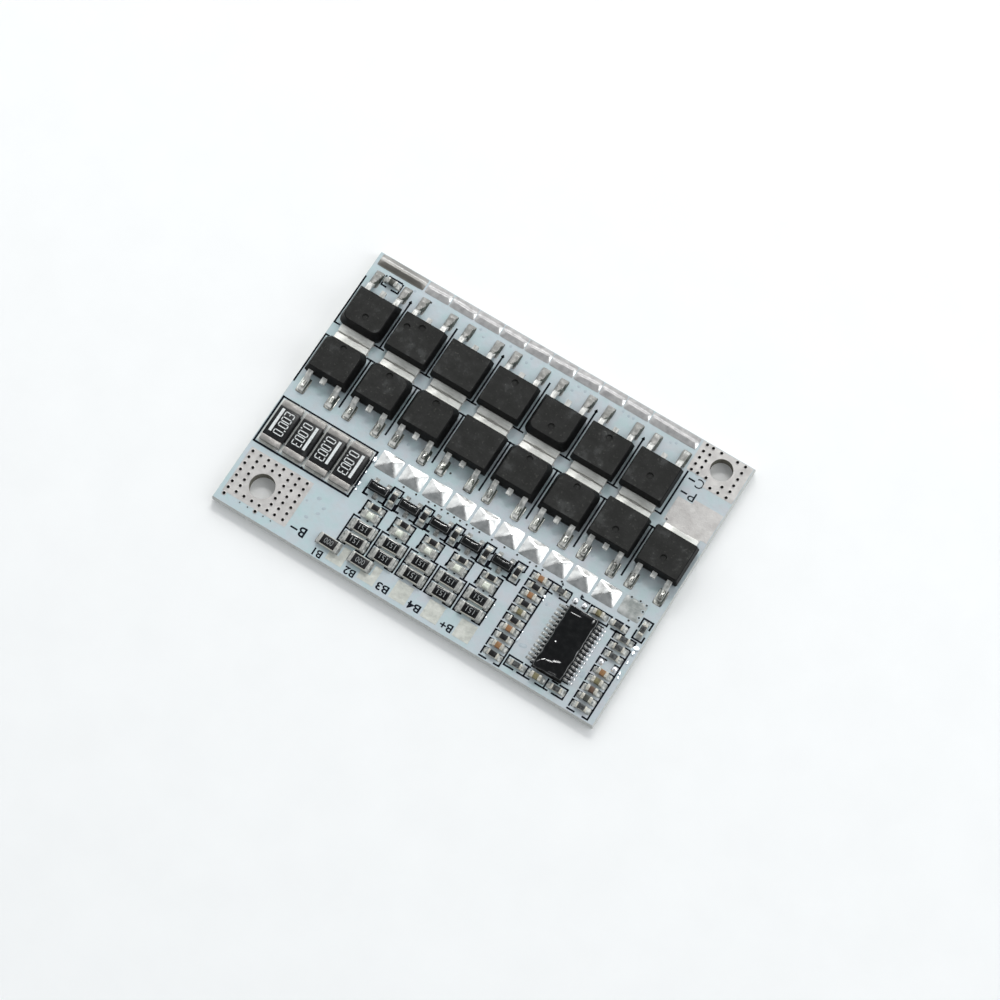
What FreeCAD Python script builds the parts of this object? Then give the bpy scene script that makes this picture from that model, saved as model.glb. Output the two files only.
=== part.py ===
import FreeCAD, Part
import os
import Sketcher

# Battery management board: a laminate board with power transistors, shunts, balancing
# channels, a monitor chip, tinned pads and solder rails, all soldered to its upper side.
# Origin at the middle of the underside, +X to the charger end, +Z up out of the parts' side.

DIMENSIONS = {
    # laminate board, measured over the webs that the scored edges leave
    "board_length": 60.3,
    "board_width": 42.3,
    "board_thickness": 1.6,
    "score_depth": 0.45,
    "score_reach": 0.15,
    "copper_thickness": 0.07,
    "solder_thickness": 0.08,
    # screw hole in the battery pad, and the pad
    "battery_hole_x": -25.08,
    "battery_hole_y": -16.35,
    "battery_hole_radius": 1.8,
    "battery_pad_left": -29.4,
    "battery_pad_right": -19.35,
    "battery_pad_low": -19.55,
    "battery_pad_high": -12.3,
    # screw hole in the charger pad, and the pad
    "charge_hole_x": 26.28,
    "charge_hole_y": 18.5,
    "charge_hole_radius": 1.6,
    "charge_pad_left": 22.1,
    "charge_pad_step": 25.3,
    "charge_pad_right": 29.9,
    "charge_pad_low": 15.05,
    "charge_pad_shoulder": 16.2,
    "charge_pad_high": 20.95,
    # load pad
    "load_pad_left": 23.2,
    "load_pad_step": 25.4,
    "load_pad_right": 29.9,
    "load_pad_low": 8.45,
    "load_pad_shoulder": 12.3,
    "load_pad_high": 13.0,
    # cell tap pads
    "tap_first_x": -11.15,
    "tap_pitch": 5.02,
    "tap_low": -20.35,
    "tap_length": 2.5,
    "tap_width": 2.75,
    "tap_notch_x": 0.2,
    "tap_notch_y": -19.2,
    "link_offset": 1.9,
    "link_pad": 0.8,
    "link_pad_span": 3.7,
    "link_y": -18.35,
    # power transistors: two rows of the same package, tabs facing each other
    "column_first_x": -26.05,
    "column_pitch": 7.48,
    "upper_row_y": 11.95,
    "lower_row_y": 3.65,
    "end_column_rise": 0.35,
    "moulding_width": 6.7,
    "moulding_length": 6.1,
    "moulding_height": 2.3,
    "parting_height": 0.9,
    "wide_draft": 21.0,
    "steep_draft": 10.0,
    "lower_draft": 9.0,
    "large_corner": 1.0,
    "small_corner": 0.2,
    "tab_width": 5.25,
    "tab_reach": 1.0,
    "paddle_inner": 2.0,
    "sheet_metal": 0.5,
    "lead_width": 0.76,
    "lead_offset": 2.28,
    "lead_root": 1.6,
    "lead_knee": 3.6,
    "lead_heel": 4.2,
    "lead_slope": 0.25,
    "lead_tip": 5.85,
    "lead_bend": 0.38,
    "stub_root": 1.2,
    "stub_tip": 3.8,
    "drain_strip_width": 5.3,
    "drain_strip_low": 1.2,
    "drain_strip_high": 14.2,
    "lead_pad_width": 1.38,
    "lead_pad_length": 2.5,
    "upper_lead_pad_end": 18.45,
    "lower_lead_pad_end": -2.45,
    # solder lumps of the two rails
    "lump_gap": 0.3,
    "lump_shoulder": 0.55,
    "lump_lower_draft": 29.0,
    "lump_upper_draft": 60.0,
    "top_rail_left": -21.75,
    "top_rail_pitch": 3.98,
    "top_rail_y": 20.02,
    "top_rail_width": 1.85,
    "top_rail_height": 0.55,
    "top_bar_length": 7.5,
    "middle_rail_left": -14.0,
    "middle_rail_pitch": 3.82,
    "middle_rail_y": -4.6,
    "middle_rail_width": 2.75,
    "middle_rail_height": 0.65,
    "flat_lump_length": 3.4,
    "flat_lump_height": 0.2,
    # shunt resistors
    "shunt_first_x": -27.62,
    "shunt_pitch": 3.72,
    "shunt_y": -7.68,
    "shunt_length": 6.4,
    "shunt_width": 3.2,
    "shunt_height": 0.65,
    "shunt_terminal": 0.85,
    "shunt_pad": 1.6,
    "shunt_pad_span": 7.1,
    # balancing channels
    "channel_first_x": -11.42,
    "channel_pitch": 4.92,
    "transistor_y": -8.5,
    "transistor_length": 2.9,
    "transistor_width": 1.3,
    "transistor_base": 0.1,
    "transistor_waist": 0.55,
    "transistor_height": 1.1,
    "transistor_lead_width": 0.4,
    "transistor_lead_offset": 0.95,
    "transistor_lead_metal": 0.12,
    "transistor_lead_top": 0.5,
    "transistor_lead_reach": 1.25,
    "transistor_pad_length": 0.75,
    "transistor_pad_width": 0.65,
    "led_first_x": -10.35,
    "led_pitch": 4.6,
    "led_y": -12.25,
    "led_length": 2.0,
    "led_width": 1.25,
    "led_base_height": 0.35,
    "led_lens_length": 1.3,
    "led_height": 0.8,
    "led_terminal": 0.35,
    "led_lens_draft": 8.0,
    "led_resistor_y": -10.95,
    "bleed_first_x": -10.2,
    "bleed_pitch": 4.58,
    "bleed_upper_y": -14.3,
    "bleed_lower_y": -16.35,
    "bleed_length": 3.2,
    "bleed_width": 1.6,
    "bleed_height": 0.58,
    "bleed_terminal": 0.5,
    "bleed_pad": 1.05,
    "bleed_pad_span": 4.2,
    # share of a small leg's reach where its foot and its knee begin
    "leg_foot_share": 0.5,
    "leg_knee_share": 0.25,
    "leg_bend_share": 0.6,
    # small chips and their places
    "chip_length": 1.6,
    "chip_width": 0.8,
    "resistor_height": 0.48,
    "capacitor_height": 0.8,
    "chip_terminal": 0.32,
    "chip_pad": 0.85,
    "chip_pad_width": 0.95,
    "chip_pad_span": 2.9,
    "chip_row_pitch": 1.35,
    "gate_resistor_offset": 2.33,
    "filter_column_x": 13.8,
    "filter_column_top": -7.6,
    "side_column_x": 27.5,
    "side_column_top": -8.9,
    "upper_chip_row_y": -7.6,
    "upper_resistor_x": 16.9,
    "upper_capacitor_x": 22.8,
    "upper_end_resistor_x": 25.85,
    "spare_pad_x": 19.2,
    "spare_pad_pitch": 1.4,
    "lower_chip_row_y": -19.35,
    "lower_resistor_x": 17.2,
    "lower_capacitor_x": 20.25,
    "lower_end_resistor_x": 23.4,
    "rail_capacitor_x": -26.15,
    "rail_capacitor_y": 17.75,
    "edge_resistor_x": 28.9,
    "edge_resistor_y": -6.4,
    # monitor chip with its 28 legs
    "monitor_x": 21.25,
    "monitor_y": -13.4,
    "monitor_width": 4.4,
    "monitor_length": 9.7,
    "monitor_base": 0.1,
    "monitor_waist": 0.6,
    "monitor_height": 1.1,
    "package_draft": 10.0,
    "monitor_lead_pitch": 0.65,
    "monitor_lead_count": 14,
    "monitor_lead_width": 0.24,
    "monitor_lead_metal": 0.14,
    "monitor_lead_top": 0.55,
    "monitor_lead_reach": 3.2,
    "monitor_pad_length": 1.15,
    "monitor_pad_width": 0.38,
}

doc = FreeCAD.newDocument("battery_management_board")
sheet = doc.addObject("Spreadsheet::Sheet", "sizes")
for line, (alias, number) in enumerate(DIMENSIONS.items(), start=1):
    sheet.set(f"A{line}", alias)
    sheet.set(f"B{line}", str(number))
    sheet.setAlias(f"B{line}", alias)
doc.recompute()

# levels of the board's upper face and of the solder that the parts stand on
BOARD_TOP = "sizes.board_thickness"
SEAT = "sizes.board_thickness + sizes.solder_thickness"

subparts = []


def number_of(text):
    """Value that an expression of the sheet gives."""
    return float(sheet.evalExpression(text))


def new_body(label):
    """Empty body that becomes one sub-part."""
    body = doc.addObject("PartDesign::Body", label)
    body.Label = label
    body.AllowCompound = True
    subparts.append(body)
    return body


def origin_part(body, role):
    """Plane or axis of the body's own origin."""
    return next(feature for feature in body.Origin.OriginFeatures if feature.Role == role)


def sketch_on(body, name, role="XY_Plane", offset="0"):
    """Sketch on one of the body's origin planes, moved along the plane's normal."""
    sketch = body.newObject("Sketcher::SketchObject", name)
    sketch.AttachmentSupport = (origin_part(body, role), [""])
    sketch.MapMode = "FlatFace"
    if offset != "0":
        sketch.setExpression("AttachmentOffset.Base.z", offset)
    return sketch


def hold_point(sketch, geometry, place, point):
    """Two dimensions from the sketch's origin that hold one point of a geometry."""
    for kind, text in zip(("DistanceX", "DistanceY"), point):
        constraint = Sketcher.Constraint(kind, -1, 1, geometry, place, number_of(text))
        index = sketch.addConstraint(constraint)
        sketch.setExpression(f"Constraints[{index}]", text)


def add_outline(sketch, corners):
    """Closed outline of straight sides with every corner dimensioned."""
    points = [FreeCAD.Vector(number_of(x), number_of(y), 0) for x, y in corners]
    first = sketch.GeometryCount
    count = len(points)
    for i in range(count):
        sketch.addGeometry(Part.LineSegment(points[i], points[(i + 1) % count]), False)
    for i in range(count):
        sketch.addConstraint(
            Sketcher.Constraint("Coincident", first + i, 2, first + (i + 1) % count, 1))
    for i, corner in enumerate(corners):
        hold_point(sketch, first + i, 1, corner)


def add_rectangle(sketch, left, low, right, high):
    """Four-sided outline from its limits."""
    add_outline(sketch, [(left, low), (right, low), (right, high), (left, high)])


def add_circle(sketch, x, y, radius):
    """Circle with its centre and radius dimensioned."""
    centre = FreeCAD.Vector(number_of(x), number_of(y), 0)
    axis = FreeCAD.Vector(0, 0, 1)
    circle = sketch.addGeometry(Part.Circle(centre, axis, number_of(radius)), False)
    hold_point(sketch, circle, 3, (x, y))
    index = sketch.addConstraint(Sketcher.Constraint("Radius", circle, number_of(radius)))
    sketch.setExpression(f"Constraints[{index}]", radius)


def pad(body, name, sketch, length, both_ways=False):
    """Solid raised from a sketch, on one side of it or on both sides alike."""
    feature = body.newObject("PartDesign::Pad", name)
    feature.Profile = sketch
    if both_ways:
        feature.SideType = "Symmetric"
    feature.setExpression("Length", length)
    sketch.Visibility = False
    return feature


def pocket(body, name, sketch, depth, upward=False, both_ways=False):
    """Recess or hole, with a check that it takes material away."""
    doc.recompute()
    before = body.Shape.Volume
    feature = body.newObject("PartDesign::Pocket", name)
    feature.Profile = sketch
    feature.Reversed = upward
    if both_ways:
        feature.SideType = "Symmetric"
    feature.setExpression("Length", depth)
    doc.recompute()
    if not feature.Shape.Volume < before:
        raise RuntimeError(f"{name} of {body.Label} cuts nothing")
    return feature


def row_along(body, name, originals, role, count, span, mirror_role=None):
    """Row of like features along an axis, repeated on the other side of a plane if asked."""
    many = body.newObject("PartDesign::MultiTransform", name)
    many.Originals = originals
    row = body.newObject("PartDesign::LinearPattern", name + "_spacing")
    row.Direction = (origin_part(body, role), [""])
    row.setExpression("Occurrences", count)
    row.setExpression("Length", span)
    steps = [row]
    if mirror_role:
        other_side = body.newObject("PartDesign::Mirrored", name + "_mirror")
        other_side.MirrorPlane = (origin_part(body, mirror_role), [""])
        steps.append(other_side)
    many.Transformations = steps
    body.Tip = many
    return many


def place(part, x, y, z, turn=0):
    """Stand a part on the board at a place given by the sheet, turned about the vertical."""
    part.Placement = FreeCAD.Placement(
        FreeCAD.Vector(0, 0, 0), FreeCAD.Rotation(FreeCAD.Vector(0, 0, 1), turn))
    part.setExpression("Placement.Base.x", x)
    part.setExpression("Placement.Base.y", y)
    part.setExpression("Placement.Base.z", z)


def block(name, x, y, z, length, width, height):
    """Rectangular piece on its centre point, standing on level z."""
    piece = doc.addObject("Part::Box", name)
    piece.setExpression("Length", length)
    piece.setExpression("Width", width)
    piece.setExpression("Height", height)
    place(piece, f"{x} - ({length}) / 2", f"{y} - ({width}) / 2", z)
    return piece


def group(label, pieces):
    """Like loose pieces kept together as one sub-part of separate solids."""
    compound = doc.addObject("Part::Compound", label)
    compound.Label = label
    compound.Links = pieces
    subparts.append(compound)
    return compound


BATTERY_OUTLINE = [
    ("sizes.battery_pad_left", "sizes.battery_pad_low"),
    ("sizes.battery_pad_right", "sizes.battery_pad_low"),
    ("sizes.battery_pad_right", "sizes.battery_pad_high"),
    ("sizes.battery_pad_left", "sizes.battery_pad_high"),
]
CHARGE_OUTLINE = [
    ("sizes.charge_pad_step", "sizes.charge_pad_low"),
    ("sizes.charge_pad_right", "sizes.charge_pad_low"),
    ("sizes.charge_pad_right", "sizes.charge_pad_high"),
    ("sizes.charge_pad_left", "sizes.charge_pad_high"),
    ("sizes.charge_pad_left", "sizes.charge_pad_shoulder"),
    ("sizes.charge_pad_step", "sizes.charge_pad_shoulder"),
]
LOAD_OUTLINE = [
    ("sizes.load_pad_left", "sizes.load_pad_low"),
    ("sizes.load_pad_right", "sizes.load_pad_low"),
    ("sizes.load_pad_right", "sizes.load_pad_high"),
    ("sizes.load_pad_step", "sizes.load_pad_high"),
    ("sizes.load_pad_step", "sizes.load_pad_shoulder"),
    ("sizes.load_pad_left", "sizes.load_pad_shoulder"),
]
BATTERY_HOLE = ("sizes.battery_hole_x", "sizes.battery_hole_y", "sizes.battery_hole_radius")
CHARGE_HOLE = ("sizes.charge_hole_x", "sizes.charge_hole_y", "sizes.charge_hole_radius")


def tap_corners(tap):
    """Outline of one cell tap pad; the first two make room for the solder of a link."""
    centre = f"sizes.tap_first_x + {tap} * sizes.tap_pitch"
    left = f"{centre} - sizes.tap_length / 2"
    right = f"{centre} + sizes.tap_length / 2"
    top = "sizes.tap_low + sizes.tap_width"
    if tap > 1:
        return [(left, "sizes.tap_low"), (right, "sizes.tap_low"), (right, top), (left, top)]
    notch = f"{centre} + sizes.tap_notch_x"
    return [(left, "sizes.tap_low"), (right, "sizes.tap_low"), (right, top), (notch, top),
            (notch, "sizes.tap_notch_y"), (left, "sizes.tap_notch_y")]


def circuit_board():
    """Laminate with scored edges, recesses that the bare pads fill, and two screw holes."""
    body = new_body("circuit_board")
    outline = sketch_on(body, "board_outline")
    add_rectangle(outline, "-sizes.board_length / 2", "-sizes.board_width / 2",
                  "sizes.board_length / 2", "sizes.board_width / 2")
    plate = pad(body, "laminate", outline, "sizes.board_thickness")
    doc.recompute()
    scored = body.newObject("PartDesign::Chamfer", "scored_edges")
    flat_faces = [f"Face{number}" for number, face in enumerate(plate.Shape.Faces, start=1)
                  if face.BoundBox.ZLength < 1e-6]
    scored.Base = (plate, flat_faces)
    scored.ChamferType = "Two distances"
    scored.setExpression("Size", "sizes.score_depth")
    scored.setExpression("Size2", "sizes.score_reach")
    recesses = sketch_on(body, "pad_recess_outlines", offset=BOARD_TOP)
    add_outline(recesses, BATTERY_OUTLINE)
    add_outline(recesses, CHARGE_OUTLINE)
    add_outline(recesses, LOAD_OUTLINE)
    for tap in range(5):
        add_outline(recesses, tap_corners(tap))
    pocket(body, "pad_recesses", recesses, "sizes.copper_thickness")
    holes = sketch_on(body, "hole_centres")
    add_circle(holes, *BATTERY_HOLE)
    add_circle(holes, *CHARGE_HOLE)
    pocket(body, "holes", holes, "3 * sizes.board_thickness", both_ways=True)


def bare_pad(label, outline, screw_hole=None):
    """Flush tinned copper pad, open over the board's screw hole."""
    body = new_body(label)
    shape = sketch_on(body, label + "_outline")
    add_outline(shape, outline)
    if screw_hole:
        add_circle(shape, *screw_hole)
    pad(body, label + "_copper", shape, "sizes.copper_thickness")
    place(body, "0", "0", BOARD_TOP + " - sizes.copper_thickness")


def cell_tap_pads():
    """Five flush pads in a row for the wires of the cells."""
    body = new_body("cell_tap_pads")
    shape = sketch_on(body, "tap_outlines")
    for tap in range(5):
        add_outline(shape, tap_corners(tap))
    pad(body, "tap_copper", shape, "sizes.copper_thickness")
    place(body, "0", "0", BOARD_TOP + " - sizes.copper_thickness")


def drain_strips():
    """Tinned strips that carry the tabs of the transistors in each column."""
    strips = []
    for column in range(8):
        low = "sizes.drain_strip_low"
        high = "sizes.drain_strip_high" if column < 7 else "sizes.load_pad_low"
        strips.append(block(
            f"drain_strip_{column + 1}",
            f"(sizes.column_first_x + {column} * sizes.column_pitch)",
            f"({low} + {high}) / 2", BOARD_TOP,
            "sizes.drain_strip_width", f"({high} - {low})", "sizes.solder_thickness"))
    group("drain_strips", strips)


# corner size, flats that turn the corner, and draft of the two makes of transistor
ROUND = ("sizes.large_corner", 3, "sizes.wide_draft")
SQUARE = ("sizes.small_corner", 1, "sizes.steep_draft")
UPPER_ROW = (ROUND, SQUARE, SQUARE, SQUARE, ROUND, SQUARE, SQUARE)
LOWER_ROW = (ROUND, ROUND, ROUND, SQUARE, ROUND, ROUND, SQUARE, SQUARE)


def moulding_outline(corner, flats):
    """Outline at the parting line, its two corners at the tab end turned in short flats."""
    half_width = "sizes.moulding_width / 2"
    half_length = "sizes.moulding_length / 2"
    angles = [90 * step / flats for step in range(flats + 1)]
    turned = [(f"{corner} * (1 - cos({angle}))", f"{corner} * (1 - sin({angle}))")
              for angle in angles]
    left = [(f"-{half_width} + {x}", f"-{half_length} + {y}") for x, y in turned]
    right = [(f"{half_width} - {x}", f"-{half_length} + {y}") for x, y in reversed(turned)]
    return left + right + [(half_width, half_length), (f"-{half_width}", half_length)]


def mosfet_moulding(label, corner, flats, draft):
    """Epoxy body with two drafts from its parting line, cut round the metal it holds."""
    body = new_body(label)
    outline = sketch_on(body, label + "_parting_outline", offset="sizes.parting_height")
    add_outline(outline, moulding_outline(corner, flats))
    epoxy = body.newObject("PartDesign::Pad", label + "_epoxy")
    epoxy.Profile = outline
    epoxy.SideType = "Two sides"
    epoxy.setExpression("Length", "sizes.moulding_height - sizes.parting_height")
    epoxy.setExpression("Length2", "sizes.parting_height")
    epoxy.setExpression("TaperAngle", f"-{draft}")
    epoxy.setExpression("TaperAngle2", "-sizes.lower_draft")
    paddle = sketch_on(body, label + "_paddle_seat")
    add_rectangle(paddle, "-sizes.tab_width / 2", "-sizes.moulding_length",
                  "sizes.tab_width / 2", "sizes.paddle_inner")
    pocket(body, label + "_paddle_pocket", paddle, "sizes.sheet_metal", upward=True)
    slots = sketch_on(body, label + "_lead_slots", offset="sizes.parting_height")
    add_rectangle(slots, "-sizes.lead_width / 2", "sizes.stub_root",
                  "sizes.lead_width / 2", "sizes.moulding_length")
    for side in ("-", ""):
        centre = f"{side}sizes.lead_offset"
        add_rectangle(slots, f"{centre} - sizes.lead_width / 2", "sizes.lead_root",
                      f"{centre} + sizes.lead_width / 2", "sizes.moulding_length")
    pocket(body, label + "_lead_pockets", slots, "sizes.sheet_metal", upward=True)
    riser = sketch_on(body, label + "_riser_outline", offset="sizes.sheet_metal")
    add_rectangle(riser, "-sizes.lead_width / 2", "sizes.stub_root",
                  "sizes.lead_width / 2", "sizes.paddle_inner")
    pocket(body, label + "_riser_pocket", riser,
           "sizes.parting_height - sizes.sheet_metal", upward=True)
    return body


def mosfet_leadframe(label):
    """Tab with its cut middle lead, and the two bent leads at its sides."""
    body = new_body(label)
    tab = sketch_on(body, label + "_tab_outline")
    add_rectangle(tab, "-sizes.tab_width / 2", "-sizes.moulding_length / 2 - sizes.tab_reach",
                  "sizes.tab_width / 2", "sizes.paddle_inner")
    pad(body, label + "_tab", tab, "sizes.sheet_metal")
    stub = sketch_on(body, label + "_stub_profile", "YZ_Plane")
    stub_top = "sizes.parting_height + sizes.sheet_metal"
    add_outline(stub, [
        ("sizes.stub_root", "sizes.sheet_metal"), ("sizes.paddle_inner", "sizes.sheet_metal"),
        ("sizes.paddle_inner", "sizes.parting_height"), ("sizes.stub_tip", "sizes.parting_height"),
        ("sizes.stub_tip", stub_top), ("sizes.stub_root", stub_top)])
    pad(body, label + "_stub", stub, "sizes.lead_width", both_ways=True)
    profile = sketch_on(body, label + "_lead_profile", "YZ_Plane", "sizes.lead_offset")
    add_outline(profile, [
        ("sizes.lead_root", "sizes.parting_height"),
        ("sizes.lead_knee - sizes.lead_slope", "sizes.parting_height"),
        ("sizes.lead_heel", "0"), ("sizes.lead_tip", "0"),
        ("sizes.lead_tip", "sizes.sheet_metal"),
        ("sizes.lead_heel + sizes.lead_slope", "sizes.sheet_metal"),
        ("sizes.lead_knee", stub_top), ("sizes.lead_root", stub_top)])
    lead = pad(body, label + "_lead", profile, "sizes.lead_width", both_ways=True)
    both = body.newObject("PartDesign::Mirrored", label + "_other_lead")
    both.Originals = [lead]
    both.MirrorPlane = (origin_part(body, "YZ_Plane"), [""])
    body.Tip = both
    doc.recompute()
    bends = [
        f"Edge{number}" for number, edge in enumerate(both.Shape.Edges, start=1)
        if abs(edge.CenterOfMass.y - number_of("sizes.lead_knee")) < 1e-4
        and abs(edge.CenterOfMass.z - number_of(stub_top)) < 1e-4]
    rounded = body.newObject("PartDesign::Fillet", label + "_bends")
    rounded.Base = (both, bends)
    rounded.setExpression("Radius", "sizes.lead_bend")
    body.Tip = rounded
    return body


def mosfets():
    """Both rows of power transistors, numbered from the battery end, and their lead pads."""
    rows = (("sizes.upper_row_y", 0, UPPER_ROW, "sizes.upper_lead_pad_end", "-"),
            ("sizes.lower_row_y", 180, LOWER_ROW, "sizes.lower_lead_pad_end", "+"))
    count = 0
    for row_y, turn, makes, pad_end, inward in rows:
        for column, make in enumerate(makes):
            count += 1
            x = f"(sizes.column_first_x + {column} * sizes.column_pitch)"
            y = f"({row_y} + sizes.end_column_rise)" if column >= 6 else row_y
            place(mosfet_moulding(f"mosfet_moulding_{count}", *make), x, y, SEAT, turn)
            place(mosfet_leadframe(f"mosfet_leadframe_{count}"), x, y, SEAT, turn)
            for number, side in ((1, "-"), (2, "+")):
                component_pads.append(block(
                    f"mosfet_{count}_lead_pad_{number}", f"{x} {side} sizes.lead_offset",
                    f"{pad_end} {inward} sizes.lead_pad_length / 2", BOARD_TOP,
                    "sizes.lead_pad_width", "sizes.lead_pad_length", "sizes.solder_thickness"))


def solder_lump(body, name, left, right, y, width, height):
    """Soldered window: a pillow that rises in a steep and then a shallow slope."""
    shoulder = f"{height} * sizes.lump_shoulder"
    inset = f"{shoulder} * tan(sizes.lump_lower_draft)"
    levels = (("base", "0", "0", shoulder, "sizes.lump_lower_draft"),
              ("crest", shoulder, inset, f"{height} - {shoulder}", "sizes.lump_upper_draft"))
    slopes = []
    for part_name, level, step, rise, draft in levels:
        section = sketch_on(body, f"{name}_{part_name}_outline", offset=level)
        half = f"({width} / 2 - {step})"
        add_rectangle(section, f"{left} + {step}", f"{y} - {half}",
                      f"{right} - {step}", f"{y} + {half}")
        slope = pad(body, f"{name}_{part_name}", section, rise)
        slope.setExpression("TaperAngle", f"-{draft}")
        slopes.append(slope)
    return slopes


def top_solder_rail():
    """Long bar, nine lumps and another long bar along the edge of the board."""
    body = new_body("top_solder_rail")
    shape = ("sizes.top_rail_y", "sizes.top_rail_width", "sizes.top_rail_height")
    left = "sizes.top_rail_left"
    right = f"{left} + sizes.top_rail_pitch - sizes.lump_gap"
    lump = solder_lump(body, "top_lump", left, right, *shape)
    row_along(body, "top_lumps", lump, "X_Axis", "9", "8 * sizes.top_rail_pitch")
    doc.recompute()
    solder_lump(body, "battery_end_bar", f"{left} - sizes.lump_gap - sizes.top_bar_length",
                f"{left} - sizes.lump_gap", *shape)
    end = f"{left} + 9 * sizes.top_rail_pitch"
    slopes = solder_lump(body, "charger_end_bar", end, f"{end} + sizes.top_bar_length", *shape)
    body.Tip = slopes[-1]
    place(body, "0", "0", BOARD_TOP)


def middle_solder_rail():
    """Ten lumps and one thin flat window below the transistors."""
    body = new_body("middle_solder_rail")
    left = "sizes.middle_rail_left"
    right = f"{left} + sizes.middle_rail_pitch - sizes.lump_gap"
    lump = solder_lump(body, "middle_lump", left, right, "sizes.middle_rail_y",
                       "sizes.middle_rail_width", "sizes.middle_rail_height")
    row_along(body, "middle_lumps", lump, "X_Axis", "10", "9 * sizes.middle_rail_pitch")
    doc.recompute()
    flat = sketch_on(body, "flat_window")
    end = f"{left} + 10 * sizes.middle_rail_pitch"
    half = "sizes.middle_rail_width / 2"
    add_rectangle(flat, f"{end} + sizes.lump_gap", f"sizes.middle_rail_y - {half}",
                  f"{end} + sizes.flat_lump_length", f"sizes.middle_rail_y + {half}")
    body.Tip = pad(body, "flat_lump", flat, "sizes.flat_lump_height")
    place(body, "0", "0", BOARD_TOP)


def moulded_package(body, name, length, width, base, waist, height):
    """Small plastic package: straight below its waist and drafted above it."""
    half_length = f"{length} / 2"
    half_width = f"{width} / 2"
    lower = sketch_on(body, name + "_base_outline", offset=base)
    add_rectangle(lower, f"-{half_length}", f"-{half_width}", half_length, half_width)
    pad(body, name + "_base", lower, f"{waist} - {base}")
    upper = sketch_on(body, name + "_waist_outline", offset=waist)
    add_rectangle(upper, f"-{half_length}", f"-{half_width}", half_length, half_width)
    top = pad(body, name + "_top", upper, f"{height} - {waist}")
    top.setExpression("TaperAngle", "-sizes.package_draft")


def lead_outline(root, reach, metal, top):
    """Corners of a small bent leg, from the package's side out to its foot."""
    foot = f"{root} + ({reach} - {root}) * sizes.leg_foot_share"
    knee = f"{root} + ({reach} - {root}) * sizes.leg_knee_share"
    step = f"{metal} * sizes.leg_bend_share"
    return [(root, f"{top} - {metal}"), (knee, f"{top} - {metal}"), (foot, "0"), (reach, "0"),
            (reach, metal), (f"{foot} + {step}", metal), (f"{knee} + {step}", top), (root, top)]


def channel_x(channel):
    """Middle of one balancing channel's transistor."""
    return f"(sizes.channel_first_x + {channel} * sizes.channel_pitch)"


def balance_transistors():
    """Five three-legged transistors, one at the head of each balancing channel."""
    for channel in range(5):
        label = f"balance_transistor_{channel + 1}"
        body = new_body(label)
        moulded_package(body, label, "sizes.transistor_length", "sizes.transistor_width",
                        "sizes.transistor_base", "sizes.transistor_waist",
                        "sizes.transistor_height")
        place(body, channel_x(channel), "sizes.transistor_y", SEAT)
    legs = new_body("balance_transistor_leads")
    outline = lead_outline("sizes.transistor_width / 2", "sizes.transistor_lead_reach",
                           "sizes.transistor_lead_metal", "sizes.transistor_lead_top")
    originals = []
    for name, offset in (("left", "-sizes.transistor_lead_offset"),
                         ("right", "sizes.transistor_lead_offset"), ("lone", "0")):
        profile = sketch_on(legs, name + "_leg_profile", "YZ_Plane", offset)
        corners = [(f"-({y})", z) for y, z in outline] if name == "lone" else outline
        add_outline(profile, corners)
        originals.append(
            pad(legs, name + "_leg", profile, "sizes.transistor_lead_width", both_ways=True))
    row_along(legs, "legs_of_all", originals, "X_Axis", "5", "4 * sizes.channel_pitch")
    place(legs, "sizes.channel_first_x", "sizes.transistor_y", SEAT)


def monitor_chip():
    """Control chip with fourteen legs down each long side."""
    body = new_body("monitor_chip")
    moulded_package(body, "monitor", "sizes.monitor_width", "sizes.monitor_length",
                    "sizes.monitor_base", "sizes.monitor_waist", "sizes.monitor_height")
    place(body, "sizes.monitor_x", "sizes.monitor_y", SEAT)
    legs = new_body("monitor_chip_leads")
    span = "(sizes.monitor_lead_count - 1) * sizes.monitor_lead_pitch"
    profile = sketch_on(legs, "monitor_leg_profile", "XZ_Plane", f"{span} / 2")
    add_outline(profile, lead_outline("sizes.monitor_width / 2", "sizes.monitor_lead_reach",
                                      "sizes.monitor_lead_metal", "sizes.monitor_lead_top"))
    leg = pad(legs, "monitor_leg", profile, "sizes.monitor_lead_width", both_ways=True)
    row_along(legs, "monitor_legs", [leg], "Y_Axis", "sizes.monitor_lead_count", span, "YZ_Plane")
    place(legs, "sizes.monitor_x", "sizes.monitor_y", SEAT)


def status_leds():
    """Five clear diodes: a flat base between the terminals and a drafted lens on it."""
    body = new_body("status_leds")
    base = sketch_on(body, "led_base_outline")
    half_base = "(sizes.led_length / 2 - sizes.led_terminal)"
    half_width = "sizes.led_width / 2"
    add_rectangle(base, f"-{half_base}", f"-{half_width}", half_base, half_width)
    base_pad = pad(body, "led_base", base, "sizes.led_base_height")
    lens = sketch_on(body, "led_lens_outline", offset="sizes.led_base_height")
    half_lens = "sizes.led_lens_length / 2"
    add_rectangle(lens, f"-{half_lens}", f"-{half_width}", half_lens, half_width)
    lens_pad = pad(body, "led_lens", lens, "sizes.led_height - sizes.led_base_height")
    lens_pad.setExpression("TaperAngle", "-sizes.led_lens_draft")
    row_along(body, "leds", [base_pad, lens_pad], "X_Axis", "5", "4 * sizes.led_pitch")
    place(body, "sizes.led_first_x", "sizes.led_y", SEAT)


# pieces of the chips, collected by kind while the chips are placed
small_resistors = []
ceramic_capacitors = []
bleed_resistors = []
chip_terminals = []
component_pads = []

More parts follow.
